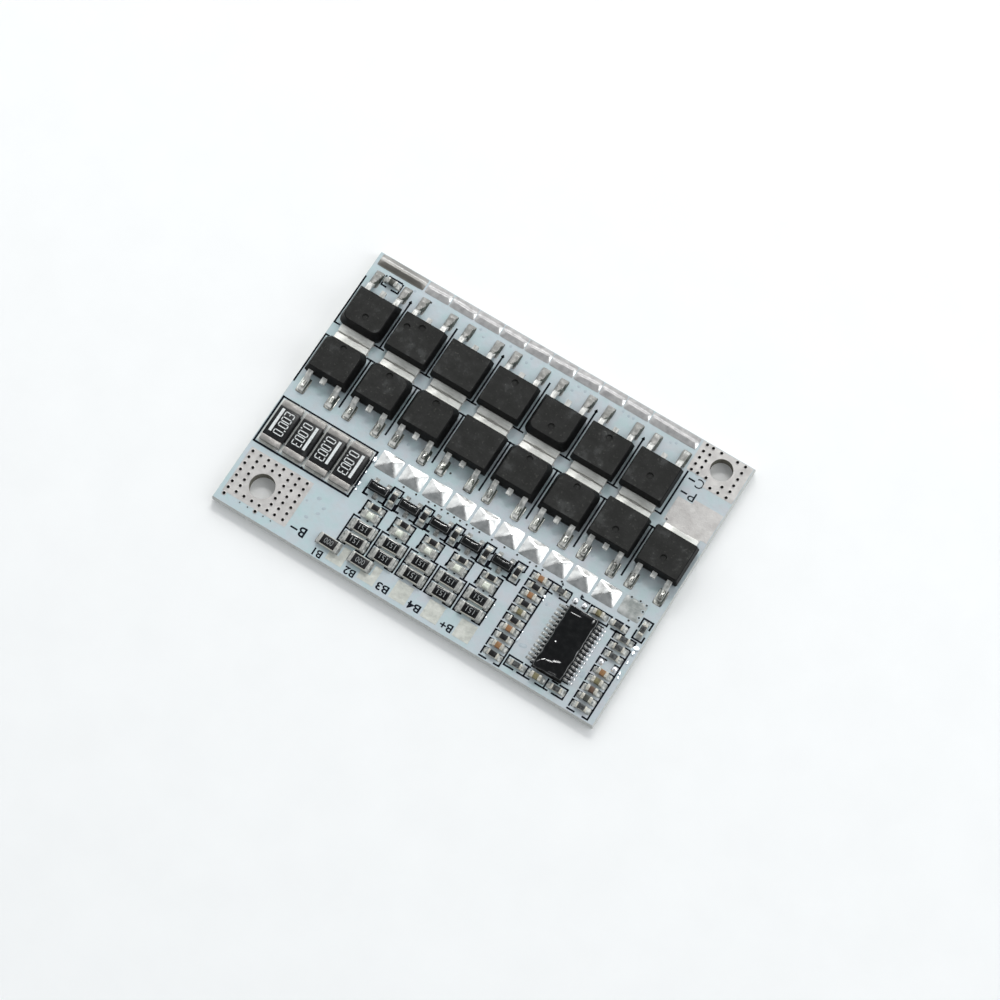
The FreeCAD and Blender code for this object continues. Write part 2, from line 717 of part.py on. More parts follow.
# length, width, terminal, pad length, pad width and span over the pads of each chip size
SMALL = ("sizes.chip_length", "sizes.chip_width", "sizes.chip_terminal",
         "sizes.chip_pad", "sizes.chip_pad_width", "sizes.chip_pad_span")
BLEED = ("sizes.bleed_length", "sizes.bleed_width", "sizes.bleed_terminal",
         "sizes.bleed_pad", "sizes.bleed_width", "sizes.bleed_pad_span")
LINK = ("sizes.bleed_length", "sizes.bleed_width", "sizes.bleed_terminal",
        "sizes.link_pad", "sizes.bleed_width", "sizes.link_pad_span")
LED = ("sizes.led_length", "sizes.led_width", "sizes.led_terminal",
       "sizes.chip_pad", "sizes.led_width", "sizes.chip_pad_span")


def terminal_pair(name, x, y, sizes, height, terminals, upright=False):
    """Two metal ends of a chip and the two soldered pads below them."""
    length, width, terminal, pad_length, pad_width, pad_span = sizes
    for number, side in ((1, "-"), (2, "+")):
        end = f"{side} ({length} - {terminal}) / 2"
        pad_place = f"{side} ({pad_span} - {pad_length}) / 2"
        if upright:
            terminals.append(block(f"{name}_terminal_{number}", x, f"{y} {end}", SEAT,
                                   width, terminal, height))
            component_pads.append(block(f"{name}_pad_{number}", x, f"{y} {pad_place}", BOARD_TOP,
                                        pad_width, pad_length, "sizes.solder_thickness"))
        else:
            terminals.append(block(f"{name}_terminal_{number}", f"{x} {end}", y, SEAT,
                                   terminal, width, height))
            component_pads.append(block(f"{name}_pad_{number}", f"{x} {pad_place}", y, BOARD_TOP,
                                        pad_length, pad_width, "sizes.solder_thickness"))


def chip(family, name, x, y, sizes, height, upright=False):
    """Chip resistor or capacitor: its middle, its two ends and its pads."""
    length, width, terminal = sizes[:3]
    middle = f"({length} - 2 * {terminal})"
    if upright:
        family.append(block(f"{name}_middle", x, y, SEAT, width, middle, height))
    else:
        family.append(block(f"{name}_middle", x, y, SEAT, middle, width, height))
    terminal_pair(name, x, y, sizes, height, chip_terminals, upright)


def small_chip(kind, name, x, y, upright=False):
    """Small resistor or capacitor at a place on the board."""
    if kind == "resistor":
        chip(small_resistors, name, x, y, SMALL, "sizes.resistor_height", upright)
    else:
        chip(ceramic_capacitors, name, x, y, SMALL, "sizes.capacitor_height", upright)


def channel_chips():
    """Resistors, diodes' ends and bleed resistors of the five balancing channels."""
    for channel in range(5):
        small_chip("resistor", f"gate_resistor_{channel + 1}",
                   f"{channel_x(channel)} + sizes.gate_resistor_offset", "sizes.transistor_y", upright=True)
        led_x = f"(sizes.led_first_x + {channel} * sizes.led_pitch)"
        small_chip("resistor", f"led_resistor_{channel + 1}", led_x, "sizes.led_resistor_y")
        terminal_pair(f"led_{channel + 1}", led_x, "sizes.led_y", LED,
                      "sizes.led_base_height", chip_terminals)
        bleed_x = f"(sizes.bleed_first_x + {channel} * sizes.bleed_pitch)"
        for number, y in ((1, "sizes.bleed_upper_y"), (2, "sizes.bleed_lower_y")):
            chip(bleed_resistors, f"bleed_resistor_{channel + 1}_{number}", bleed_x, y,
                 BLEED, "sizes.bleed_height")
        for leg, (x, y) in enumerate((("- sizes.transistor_lead_offset", "+"),
                                      ("+ sizes.transistor_lead_offset", "+"), ("", "-"))):
            component_pads.append(block(
                f"transistor_{channel + 1}_pad_{leg + 1}", f"{channel_x(channel)} {x}",
                f"sizes.transistor_y {y} (sizes.transistor_lead_reach"
                f" - sizes.transistor_pad_length / 4)", BOARD_TOP, "sizes.transistor_pad_width",
                "sizes.transistor_pad_length", "sizes.solder_thickness"))
    for link in range(2):
        x = f"(sizes.tap_first_x + {link} * sizes.tap_pitch - sizes.link_offset)"
        chip(bleed_resistors, f"link_{link + 1}", x, "sizes.link_y", LINK, "sizes.bleed_height")


def monitor_side_chips():
    """Chips in the two columns and two rows round the monitor chip."""
    for place_number in range(10):
        kind = "capacitor" if place_number % 2 == 0 else "resistor"
        small_chip(kind, f"filter_{kind}_{place_number + 1}", "sizes.filter_column_x",
                   f"(sizes.filter_column_top - {place_number} * sizes.chip_row_pitch)")
    right_column = ("resistor", "resistor", "resistor", None, "capacitor", "capacitor",
                    "capacitor", "capacitor", "resistor")
    for place_number, kind in enumerate(right_column):
        y = f"(sizes.side_column_top - {place_number} * sizes.chip_row_pitch)"
        if kind:
            small_chip(kind, f"side_{kind}_{place_number + 1}", "sizes.side_column_x", y)
        else:
            for side in ("-", "+"):
                component_pads.append(block(
                    f"spare_pad_{place_number}_{len(component_pads)}",
                    f"sizes.side_column_x {side} (sizes.chip_pad_span - sizes.chip_pad) / 2",
                    y, BOARD_TOP,
                    "sizes.chip_pad", "sizes.chip_pad_width", "sizes.solder_thickness"))
    for kind, name, x, y in (
            ("resistor", "upper_resistor", "upper_resistor_x", "upper_chip_row_y"),
            ("capacitor", "upper_capacitor", "upper_capacitor_x", "upper_chip_row_y"),
            ("resistor", "upper_end_resistor", "upper_end_resistor_x", "upper_chip_row_y"),
            ("resistor", "lower_resistor", "lower_resistor_x", "lower_chip_row_y"),
            ("capacitor", "lower_capacitor", "lower_capacitor_x", "lower_chip_row_y"),
            ("resistor", "lower_end_resistor", "lower_end_resistor_x", "lower_chip_row_y"),
            ("capacitor", "rail_capacitor", "rail_capacitor_x", "rail_capacitor_y")):
        small_chip(kind, name, f"sizes.{x}", f"sizes.{y}")
    small_chip("resistor", "edge_resistor", "sizes.edge_resistor_x", "sizes.edge_resistor_y",
               upright=True)
    for number in range(2):
        component_pads.append(block(
            f"bare_pad_{number + 1}", f"(sizes.spare_pad_x + {number} * sizes.spare_pad_pitch)",
            "sizes.upper_chip_row_y", BOARD_TOP, "sizes.chip_pad", "sizes.chip_pad_width",
            "sizes.solder_thickness"))
    for side in ("-", "+"):
        for leg in range(int(number_of("sizes.monitor_lead_count"))):
            step = f"({leg} - (sizes.monitor_lead_count - 1) / 2)"
            component_pads.append(block(
                f"monitor_pad_{len(component_pads)}",
                f"sizes.monitor_x {side} (sizes.monitor_lead_reach"
                f" - sizes.monitor_pad_length / 4)",
                f"sizes.monitor_y + {step} * sizes.monitor_lead_pitch", BOARD_TOP,
                "sizes.monitor_pad_length", "sizes.monitor_pad_width", "sizes.solder_thickness"))


def shunt_resistors():
    """Four large current-sensing resistors side by side."""
    sizes = ("sizes.shunt_length", "sizes.shunt_width", "sizes.shunt_terminal",
             "sizes.shunt_pad", "sizes.shunt_width", "sizes.shunt_pad_span")
    terminals = []
    for shunt in range(4):
        label = f"shunt_resistor_{shunt + 1}"
        x = f"(sizes.shunt_first_x + {shunt} * sizes.shunt_pitch)"
        body = new_body(label)
        outline = sketch_on(body, label + "_outline")
        half_length = "(sizes.shunt_length / 2 - sizes.shunt_terminal)"
        add_rectangle(outline, "-sizes.shunt_width / 2", f"-{half_length}",
                      "sizes.shunt_width / 2", half_length)
        pad(body, label + "_middle", outline, "sizes.shunt_height")
        place(body, x, "sizes.shunt_y", SEAT)
        terminal_pair(f"shunt_{shunt + 1}", x, "sizes.shunt_y", sizes, "sizes.shunt_height",
                      terminals, upright=True)
    group("shunt_terminals", terminals)


circuit_board()
bare_pad("battery_negative_pad", BATTERY_OUTLINE, BATTERY_HOLE)
bare_pad("charge_negative_pad", CHARGE_OUTLINE, CHARGE_HOLE)
bare_pad("load_negative_pad", LOAD_OUTLINE)
cell_tap_pads()
drain_strips()
mosfets()
top_solder_rail()
middle_solder_rail()
shunt_resistors()
balance_transistors()
monitor_chip()
status_leds()
channel_chips()
monitor_side_chips()
group("small_resistors", small_resistors)
group("ceramic_capacitors", ceramic_capacitors)
group("bleed_resistors", bleed_resistors)
group("chip_terminals", chip_terminals)
group("component_pads", component_pads)
doc.recompute()

failed = [part.Name for part in doc.Objects if {"Invalid", "Error"} & set(part.State)]
if failed:
    raise RuntimeError("failed objects: " + ", ".join(failed))
for part in subparts:
    if part.Shape.isNull() or not part.Shape.isValid():
        raise RuntimeError("bad shape: " + part.Label)

os.makedirs("parts", exist_ok=True)
for part in subparts:
    part.Shape.exportStep(f"parts/{part.Label}.step")
print(len(subparts), "sub-parts,", sum(len(part.Shape.Solids) for part in subparts), "solids")
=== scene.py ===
import math
import random

import bpy
from mathutils import Matrix, Vector, noise
from mathutils.geometry import delaunay_2d_cdt


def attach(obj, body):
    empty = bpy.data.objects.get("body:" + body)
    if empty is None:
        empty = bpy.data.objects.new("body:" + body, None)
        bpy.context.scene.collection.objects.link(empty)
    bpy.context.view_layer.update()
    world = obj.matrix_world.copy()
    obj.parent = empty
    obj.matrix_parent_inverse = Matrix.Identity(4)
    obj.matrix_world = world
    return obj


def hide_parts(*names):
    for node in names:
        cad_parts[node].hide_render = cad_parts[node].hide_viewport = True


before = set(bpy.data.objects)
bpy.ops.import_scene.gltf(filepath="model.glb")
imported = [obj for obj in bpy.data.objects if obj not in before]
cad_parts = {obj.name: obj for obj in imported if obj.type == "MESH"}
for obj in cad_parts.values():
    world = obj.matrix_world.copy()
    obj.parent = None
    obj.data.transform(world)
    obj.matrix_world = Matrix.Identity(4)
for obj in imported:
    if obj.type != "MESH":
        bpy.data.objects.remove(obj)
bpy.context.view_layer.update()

# Camera, studio lights and floor. A long lens looks down on the component side from the
# wire-pad edge, and large soft boxes behind and beside the board light it.
MM = 0.001
board_top = 1.6
board_turn, camera_tilt, camera_roll = -32.62, -18.3, 0.55
camera_offset = Vector((2.15, -2.36, 405.0))

view_axes = Matrix.Identity(3)
for turn, axis in ((camera_roll, "Z"), (camera_tilt, "X"), (board_turn, "Z")):
    view_axes = view_axes @ Matrix.Rotation(math.radians(turn), 3, axis)
camera_place = view_axes.transposed() @ camera_offset + Vector((0, 0, board_top))

lens = bpy.data.cameras.new("camera")
lens.sensor_width = 36
lens.lens = 108
lens.clip_start = 0.02
camera = bpy.data.objects.new("camera", lens)
camera.matrix_world = Matrix.Translation(camera_place * MM) @ view_axes.transposed().to_4x4()
bpy.context.collection.objects.link(camera)
bpy.context.scene.camera = camera
bpy.context.scene.view_settings.view_transform = "Standard"


def soft_box(name, direction, distance, width, height, power, colour):
    """Rectangular soft light that faces the board from a direction in the board's frame."""
    lamp = bpy.data.lights.new(name, "AREA")
    lamp.shape = "RECTANGLE"
    lamp.size = width
    lamp.size_y = height
    lamp.energy = power
    lamp.color = colour
    stand = bpy.data.objects.new(name, lamp)
    ray = Vector(direction).normalized()
    stand.rotation_euler = ray.to_track_quat("Z", "Y").to_euler()
    stand.location = ray * distance
    bpy.context.collection.objects.link(stand)


soft_box("back_soft_box", (-0.30, 0.76, 0.58), 0.62, 0.60, 0.30, 1.0, (1.0, 0.99, 0.97))
soft_box("side_soft_box", (0.76, 0.28, 0.58), 0.60, 0.20, 0.44, 0.5, (0.98, 0.99, 1.0))
soft_box("strip_lamp", (-0.24, 0.62, 0.74), 0.62, 0.24, 0.07, 0.85, (1.0, 1.0, 0.99))

# The room round the board: white paper behind and beside it, darker towards the viewer and
# straight above, where the camera stands.
sky = bpy.data.worlds.new("studio")
sky.use_nodes = True
sky_tree = sky.node_tree
backdrop = sky_tree.nodes["Background"].inputs


def node(tree, kind, inputs, **settings):
    """Outputs of a new shader node; each input is a plain value or another node's output."""
    made = tree.nodes.new("ShaderNode" + kind)
    for name, value in settings.items():
        setattr(made, name, value)
    for name, entry in inputs.items():
        if isinstance(entry, bpy.types.NodeSocket):
            tree.links.new(entry, made.inputs[name])
        else:
            made.inputs[name].default_value = entry
    return made.outputs


def spread(tree, field, stops):
    """Ramp over a field; stops are (place, value), the value a plain number or a colour."""
    ramp = node(tree, "ValToRGB", {"Fac": field})["Color"]
    elements = ramp.node.color_ramp.elements
    while len(elements) < len(stops):
        elements.new(0.5)
    for element, (place, value) in zip(elements, stops):
        element.position = place
        element.color = (*value, 1) if isinstance(value, tuple) else (value, value, value, 1)
    return ramp


def multiplied(tree, first, second):
    """Product of two colour fields."""
    return node(tree, "Mix", {0: 1.0, 6: first, 7: second}, data_type="RGBA",
                blend_type="MULTIPLY")[2]


def room_light(direction, stops):
    """Light of the room by the angle to a direction; stops run from 0 behind to 1 ahead."""
    gaze = node(sky_tree, "TexCoord", {})["Generated"]
    towards = node(sky_tree, "VectorMath", {0: gaze, 1: Vector(direction).normalized()},
                   operation="DOT_PRODUCT")["Value"]
    reach = node(sky_tree, "MapRange", {"From Min": -1, "Value": towards})["Result"]
    return spread(sky_tree, reach, [(place, (light * 0.97, light * 0.99, light))
                                    for place, light in stops])


ahead = room_light((0.12, -0.79, 0.60), [(0.0, 0.55), (0.36, 0.68), (0.60, 0.64), (0.69, 0.52),
                                         (0.85, 0.38), (0.93, 0.30), (0.975, 0.19), (1.0, 0.11)])
above = room_light((-0.177, 0.266, 0.948), [(0.90, 1.0), (0.945, 0.75), (0.972, 0.24),
                                            (1.0, 0.05)])
sky_tree.links.new(multiplied(sky_tree, ahead, above), backdrop["Color"])
backdrop["Strength"].default_value = 1.8
bpy.context.scene.world = sky


def grain(tree, size, detail=3.0, roughness=0.55):
    """Field of random grain with features of that size in millimetres, or of one per axis."""
    sizes = size if isinstance(size, tuple) else (size, size, size)
    place = node(tree, "Mapping", {"Vector": node(tree, "TexCoord", {})["Object"],
                                   "Scale": [1 / (length * MM) for length in sizes]})["Vector"]
    return node(tree, "TexNoise", {"Vector": place, "Scale": 1.0, "Detail": detail,
                                   "Roughness": roughness})["Fac"]


def relief(tree, field, height):
    """Bump from a field, its full range being that height in millimetres."""
    normal = tree.nodes["Principled BSDF"].inputs["Normal"]
    inputs = {"Distance": height * MM, "Strength": 1.0, "Height": field}
    if normal.is_linked:
        inputs["Normal"] = normal.links[0].from_socket
    tree.links.new(node(tree, "Bump", inputs)["Normal"], normal)


def finish(name, tones, sheen, metallic=0.0, bumps=(), **values):
    """New material. Tones, the base colour, and sheen, the roughness, are a grain's size and
    detail with (place, value) stops after them; sheen can be one value. A bump is a grain's
    size and detail with a height."""
    material = bpy.data.materials.new(name)
    material.use_nodes = True
    tree = material.node_tree
    inputs = tree.nodes["Principled BSDF"].inputs
    inputs["Metallic"].default_value = metallic
    for socket, value in values.items():
        inputs[socket.replace("_", " ")].default_value = value
    for socket, entry in (("Base Color", tones), ("Roughness", sheen)):
        if isinstance(entry, tuple):
            size, detail, *stops = entry
            tree.links.new(spread(tree, grain(tree, size, detail), stops), inputs[socket])
        elif entry is not None:
            inputs[socket].default_value = entry
    for size, detail, height in bumps:
        relief(tree, grain(tree, size, detail), height)
    return material


table_top = finish("table_paper", (9.0, 3, (0.3, 0.92), (0.7, 0.94)), 0.8)
half_floor = 1.2
floor_mesh = bpy.data.meshes.new("floor")
floor_mesh.from_pydata([(-half_floor, -half_floor, 0), (half_floor, -half_floor, 0),
                        (half_floor, half_floor, 0), (-half_floor, half_floor, 0)],
                       [], [(0, 1, 2, 3)])
floor_mesh.materials.append(table_top)
floor = bpy.data.objects.new("floor", floor_mesh)
bpy.context.collection.objects.link(floor)

# Circuit board: glass-fibre laminate under a white solder mask, cut from its panel along
# scored grooves, so each edge has two smooth bevels and a rough broken web between them.
half_length, half_width = 30.0, 21.0
web_reach, groove_depth = 0.15, 0.45
battery_hole, charge_hole = (-25.08, -16.35, 1.8), (26.28, 18.5, 1.6)
via_radius, via_corners, screw_corners = 0.22, 14, 64

pad_columns = (-28.95, -27.65, -26.4, -25.15, -23.95, -22.65, -21.45, -20.15)
battery_vias = [(x, y) for y in (-12.8, -13.8, -18.85) for x in pad_columns]
battery_vias += [(x, y) for y in (-14.8, -15.85, -16.85, -17.85)
                 for x in pad_columns[:2] + pad_columns[5:]]
battery_vias += [(-28.95, -19.85), (-23.95, -19.85)]
charge_vias = [(x, 20.6) for x in (22.8, 23.75, 25.05, 27.55, 28.8)]
charge_vias += [(x, y) for y in (19.55, 18.5, 17.45) for x in (22.8, 23.8, 28.8)]
charge_vias += [(x, 16.45) for x in (22.75, 23.75, 25.05, 27.55, 28.8)]
charge_vias += [(x, 15.45) for x in (26.25, 27.5, 28.8)]


def circle(x, y, radius, count):
    """Points round a circle, anticlockwise."""
    angles = [2 * math.pi * step / count for step in range(count)]
    return [(x + radius * math.cos(angle), y + radius * math.sin(angle)) for angle in angles]


def inside(x, y, outline):
    """True where a point lies in a closed outline."""
    crossings = 0
    for (x1, y1), (x2, y2) in zip(outline, outline[1:] + outline[:1]):
        if (y1 > y) != (y2 > y) and x < x1 + (y - y1) * (x2 - x1) / (y2 - y1):
            crossings += 1
    return crossings % 2 == 1


def flat_sheet(outline, openings, level):
    """Points and triangles of a flat face with openings in it."""
    loops = [outline] + openings
    flat = [Vector(point) for loop in loops for point in loop]
    edges, start = [], 0
    for loop in loops:
        count = len(loop)
        edges += [(start + i, start + (i + 1) % count) for i in range(count)]
        start += count
    points, _, triangles, _, _, _ = delaunay_2d_cdt(flat, edges, [], 0, 1e-6)
    kept = []
    for triangle in triangles:
        x, y = (sum(points[i][axis] for i in triangle) / 3 for axis in (0, 1))
        if inside(x, y, outline) and not any(inside(x, y, loop) for loop in openings):
            kept.append(tuple(triangle))
    return [(point.x, point.y, level) for point in points], kept


def joined(*shapes):
    """Several shapes, each points and faces, as one."""
    points, faces = [], []
    for shape_points, shape_faces in shapes:
        start = len(points)
        points += shape_points
        faces += [tuple(start + i for i in face) for face in shape_faces]
    return points, faces


def numbered(*skins):
    """Several shapes as one, and for each of its faces the number of the shape it is from."""
    return joined(*skins), [number for number, skin in enumerate(skins) for _ in skin[1]]


def turned_over(shape):
    """The same shape with its faces looking the other way."""
    points, faces = shape
    return points, [face[::-1] for face in faces]


def loft(rings, close_first=False, close_last=False):
    """Skin over rings of equally many points; the first and the last ring can be closed."""
    count = len(rings[0])
    points = [point for ring in rings for point in ring]
    faces = []
    for low in range(0, len(points) - count, count):
        for i in range(count):
            j = (i + 1) % count
            faces.append((low + i, low + j, low + count + j, low + count + i))
    if close_first:
        faces.append(tuple(range(count))[::-1])
    if close_last:
        faces.append(tuple(range(len(points) - count, len(points))))
    return points, faces


def level_ring(outline, level):
    """Flat outline lifted to a level."""
    return [(x, y, level) for x, y in outline]


def piece(name, shape, material, replaces=(), soft_angle=35, marks=None):
    """Mesh object from a shape in millimetres, riding on the board."""
    points, faces = shape
    mesh = bpy.data.meshes.new(name)
    mesh.from_pydata([Vector(point) * MM for point in points], [], faces)
    for entry in material if isinstance(material, list) else [material]:
        mesh.materials.append(entry)
    if marks:
        mesh.polygons.foreach_set("material_index", marks)
    mesh.validate()
    mesh.shade_smooth()
    mesh.set_sharp_from_angle(angle=math.radians(soft_angle))
    thing = bpy.data.objects.new(name, mesh)
    bpy.context.collection.objects.link(thing)
    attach(thing, "root")
    if replaces:
        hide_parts(*replaces)


def run_of(tree, axis, low, high):
    """Field that grows from 0 to 1 along one direction of the board, in millimetres."""
    place = node(tree, "SeparateXYZ", {0: node(tree, "TexCoord", {})["Object"]})[axis]
    return node(tree, "MapRange", {"From Min": low * MM, "From Max": high * MM,
                                   "Value": place})["Result"]


def tinted(tree, *layers):
    """Base colour from layers multiplied together, each a field and the stops over it."""
    colours = [spread(tree, field, stops) for field, *stops in layers]
    product = colours[0]
    for colour in colours[1:]:
        product = multiplied(tree, product, colour)
    tree.links.new(product, tree.nodes["Principled BSDF"].inputs["Base Color"])
    return product


mask = finish("white_solder_mask", None, (0.9, 3, (0.3, 0.28), (0.7, 0.42)),
              bumps=[(0.7, 3, 0.028)], IOR=1.5)
coat = mask.node_tree
tinted(coat,
       (grain(coat, 5.0, 2), (0.35, (0.48, 0.585, 0.625)), (0.65, (0.52, 0.585, 0.64))),
       (grain(coat, 1.3, 2), (0.35, (0.95, 1.0, 0.97)), (0.5, (1.0, 1.0, 0.99)),
        (0.66, (1.01, 0.97, 0.95))),
       (run_of(coat, "X", -20, 30), (0.0, (1.0, 1.0, 0.99)), (1.0, (1.0, 0.95, 0.94))))
laminate = finish("glass_laminate", None, 0.65)
glass = laminate.node_tree
fibres = tinted(glass, (grain(glass, (0.35, 0.35, 0.35 / 6), 4), (0.3, (0.40, 0.41, 0.39)),
                        (0.5, (0.50, 0.51, 0.49)), (0.75, (0.64, 0.65, 0.63))))
relief(glass, fibres, 0.03)
# Darker laminate for the walls of the screw holes: painted shade inside the bores.
shaded_bore_laminate = finish("bore_wall_painted_shade", ((0.4, 0.4, 0.08), 4, (0.3, (0.10, 0.095, 0.075)),
                                  (0.7, (0.22, 0.21, 0.17))), 0.7)

board_corners = [(-half_length, -half_width), (half_length, -half_width),
                 (half_length, half_width), (-half_length, half_width)]
screw_rims = [circle(*hole, screw_corners) for hole in (battery_hole, charge_hole)]
via_rims = [circle(x, y, via_radius, via_corners) for x, y in battery_vias + charge_vias]
upper_face = flat_sheet(board_corners, screw_rims + via_rims, board_top)
lower_face = turned_over(flat_sheet(board_corners, screw_rims + via_rims, 0.0))


def broken_edge():
    """Skin round the board: groove bevels with the torn web between them."""
    rng = random.Random(4)
    levels = [(board_top, 0.0, 0.0), (board_top - groove_depth, web_reach, 0.02),
              (1.0, web_reach, 0.06), (0.8, web_reach, 0.07), (0.6, web_reach, 0.06),
              (groove_depth, web_reach, 0.02), (0.0, 0.0, 0.0)]
    stations, step = [], 0.35
    for (x1, y1), (x2, y2) in zip(board_corners, board_corners[1:] + board_corners[:1]):
        count = int(math.hypot(x2 - x1, y2 - y1) / step)
        stations += [(x1 + (x2 - x1) * i / count, y1 + (y2 - y1) * i / count)
                     for i in range(count)]
    rings = []
    for level, reach, tear in levels:
        ring = []
        for x, y in stations:
            out = reach - tear * rng.random()
            wide, deep = abs(x) > half_length - 0.01, abs(y) > half_width - 0.01
            ring.append((x + (math.copysign(out, x) if wide else 0),
                         y + (math.copysign(out, y) if deep else 0), level))
        rings.append(ring)
    return turned_over(loft(rings))


# The screw-hole walls take the darker laminate, painted shade.
hole_walls = [turned_over(loft([level_ring(rim, level) for level in (0.0, 0.8, board_top)]))
              for rim in screw_rims]
board_shape, board_skins = numbered(joined(upper_face, lower_face), broken_edge(),
                                    joined(*hole_walls))
piece("printed_circuit_board", board_shape, [mask, laminate, shaded_bore_laminate],
      ["circuit_board"], marks=board_skins)

# Silk screen: navy-black ink printed on the mask. It frames every component, divides the
# columns of transistors and names the wire pads, so it reads from the wire-pad edge.
ink_level, ink_depth = board_top + 0.012, 0.012
line_width = 0.25
ink = finish("silk_ink", (0.16, 2, (0.28, (0.05, 0.06, 0.075)), (0.36, (0.009, 0.011, 0.018)),
                          (0.7, (0.004, 0.005, 0.010))), 0.6, Specular_IOR_Level=0.1)


def bar(x1, y1, x2, y2, width=line_width, level=ink_level, depth=ink_depth):
    """Raised stroke between two points."""
    along = Vector((x2 - x1, y2 - y1)).normalized()
    side = Vector((-along.y, along.x)) * width / 2
    tip = along * width / 2
    a, b = Vector((x1, y1)) - tip, Vector((x2, y2)) + tip
    outline = [a - side, b - side, b + side, a + side]
    corners = [(p.x, p.y, z) for z in (level - depth, level) for p in outline]
    return corners, [(4, 5, 6, 7), (0, 1, 5, 4), (1, 2, 6, 5), (2, 3, 7, 6), (3, 0, 4, 7)]


def lines(*runs, width=line_width):
    """Printed lines, each through its own points."""
    return joined(*[bar(*a, *b, width) for run in runs for a, b in zip(run, run[1:])])


def rules(across=(), down=()):
    """Printed lines along the board (y, from, to) and across it (x, from, to)."""
    return joined(*[bar(start, y, end, y) for y, start, end in across],
                  *[bar(x, start, x, end) for x, start, end in down])


# Lines between the columns of transistors, each with a foot at the tab end.
printed = []
for step in range(7):
    x, last = -22.5 + 7.5 * step, step == 6
    top = 15.9 if last else 16.8
    printed += [lines([(x, 8.85), (x, top)], [(x, 6.7), (x, -1.25)], width=0.27),
                rules([(8.85, x - 0.85, x + (0.0 if last else 0.6)), (6.7, x - 0.6, x + 0.6)])]
    if step in (0, 2, 4, 5):
        tip = [(x, top - 0.45), (x + 0.26, top - 0.1), (x, top + 0.3), (x - 0.26, top - 0.1)]
        printed.append((level_ring(tip, ink_level), [(0, 1, 2, 3)]))
printed.append(lines([(-29.1, 8.85), (-29.88, 8.85), (-29.88, 16.8)],
                     [(-29.4, 6.7), (-29.88, 6.7), (-29.88, -1.25)]))

# Frames round the parts of the five balancing channels.
for channel in range(5):
    x, diode = -11.45 + 4.925 * channel, -10.4 + 4.6 * channel
    chip, left, right = x + 2.33, diode - 2.05, diode + 2.1
    printed += [
        lines([(x - 1.62, -9.1), (x - 1.62, -9.85), (x - 1.05, -9.85)], width=0.32),
        lines([(x - 1.60, -7.7), (x - 1.60, -9.1)], [(diode - 1.58, -12.35), (diode - 1.58, -12.6)],
              [(x + 0.85, -9.85), (x + 1.5, -9.85), (x + 1.5, -7.2)], width=0.26),
        lines([(chip - 0.72, -7.9), (chip - 0.72, -6.95), (chip + 0.72, -6.95),
               (chip + 0.72, -7.85), (chip + 0.55, -8.0)],
              [(chip - 0.72, -9.0), (chip - 0.72, -10.0), (chip + 0.72, -10.0),
               (chip + 0.72, -9.1)],
              [(diode - 1.1, -10.4), (diode - 1.5, -10.4), (diode - 1.5, -11.6),
               (diode - 1.5, -12.5)],
              [(diode + 0.7, -10.35), (diode + 1.5, -10.35), (diode + 1.5, -12.95)],
              [(left, -17.25), (left, -13.1), (left + 1.0, -13.1)],
              [(right - 1.0, -13.1), (right, -13.1), (right, -17.25)]),
        rules([(-11.75, diode - 1.45, diode - 0.6), (-11.75, diode + 0.75, diode + 1.45),
               (-15.2, left, left + 0.9), (-15.2, right - 0.7, right),
               (-17.25, left, left + 1.2), (-17.25, right - 1.15, right)])]

# Frames of the two columns of small chips, with a gap in the middle of every crossbar.
for left, right, top, count in ((12.25, 15.3, -6.95, 10), (25.95, 29.05, -8.3, 9)):
    for step in range(count + 1):
        y = top - 1.375 * step
        printed.append(rules([(y, left, left + 1.0), (y, right - 0.75, right)]))
        if step < count:
            printed.append(rules((), [(left, y, y - 0.95), (right, y - 0.1, y - 1.3)]))

# Frames of the chips round the monitor chip, and its small triangle.
printed += [
    rules([(-6.95, 15.3, 16.6), (-6.95, 17.3, 18.25), (-6.95, 19.7, 21.0), (-6.95, 21.35, 24.5),
           (-6.95, 25.1, 26.2), (-6.95, 26.7, 27.15), (-8.45, 15.3, 16.0), (-8.45, 17.2, 18.3),
           (-8.45, 23.4, 24.55), (-8.4, 25.2, 27.2), (-20.1, 17.8, 19.6), (-20.1, 20.6, 22.4),
           (-18.6, 18.2, 18.9), (-18.6, 22.4, 23.2)],
          [(18.3, -8.45, -7.1), (21.35, -6.95, -8.4), (24.55, -7.1, -8.4), (27.15, -6.95, -8.3),
           (18.75, -20.1, -18.7), (21.85, -20.1, -18.7)]),
    lines([(28.2, -6.2), (28.2, -4.85), (29.65, -4.85), (29.65, -5.9)],
          [(28.2, -6.8), (28.2, -7.95), (29.65, -7.95), (29.65, -7.2)],
          [(17.7, -18.6), (15.7, -18.6), (15.7, -20.1), (17.1, -20.1)],
          [(23.2, -20.1), (24.8, -20.1), (24.8, -18.6), (23.6, -18.6)]),
    lines([(19.0, -8.45), (23.3, -8.45)], width=0.2),
    lines([(16.35, -6.35), (16.6, -6.6)], width=0.24),
    (level_ring([(19.45, -6.35), (19.45, -6.95), (20.0, -6.65)], ink_level), [(0, 1, 2)])]

# Frame round the shunt resistors, and the marks at the rail-end chip.
printed += [
    lines([(-29.75, -4.0), (-29.75, -11.4), (-14.5, -11.4), (-14.5, -4.0)], width=0.3),
    lines([(-29.75, -4.0), (-27.2, -4.0)], [(-26.9, -4.0), (-14.5, -4.0)],
          [(-22.05, -11.4), (-22.05, -10.6)], [(-27.45, 18.35), (-27.45, 16.95), (-26.7, 16.9)],
          [(-25.75, 16.9), (-24.75, 16.9), (-24.75, 18.35)], [(-27.0, 18.5), (-25.0, 18.5)])]


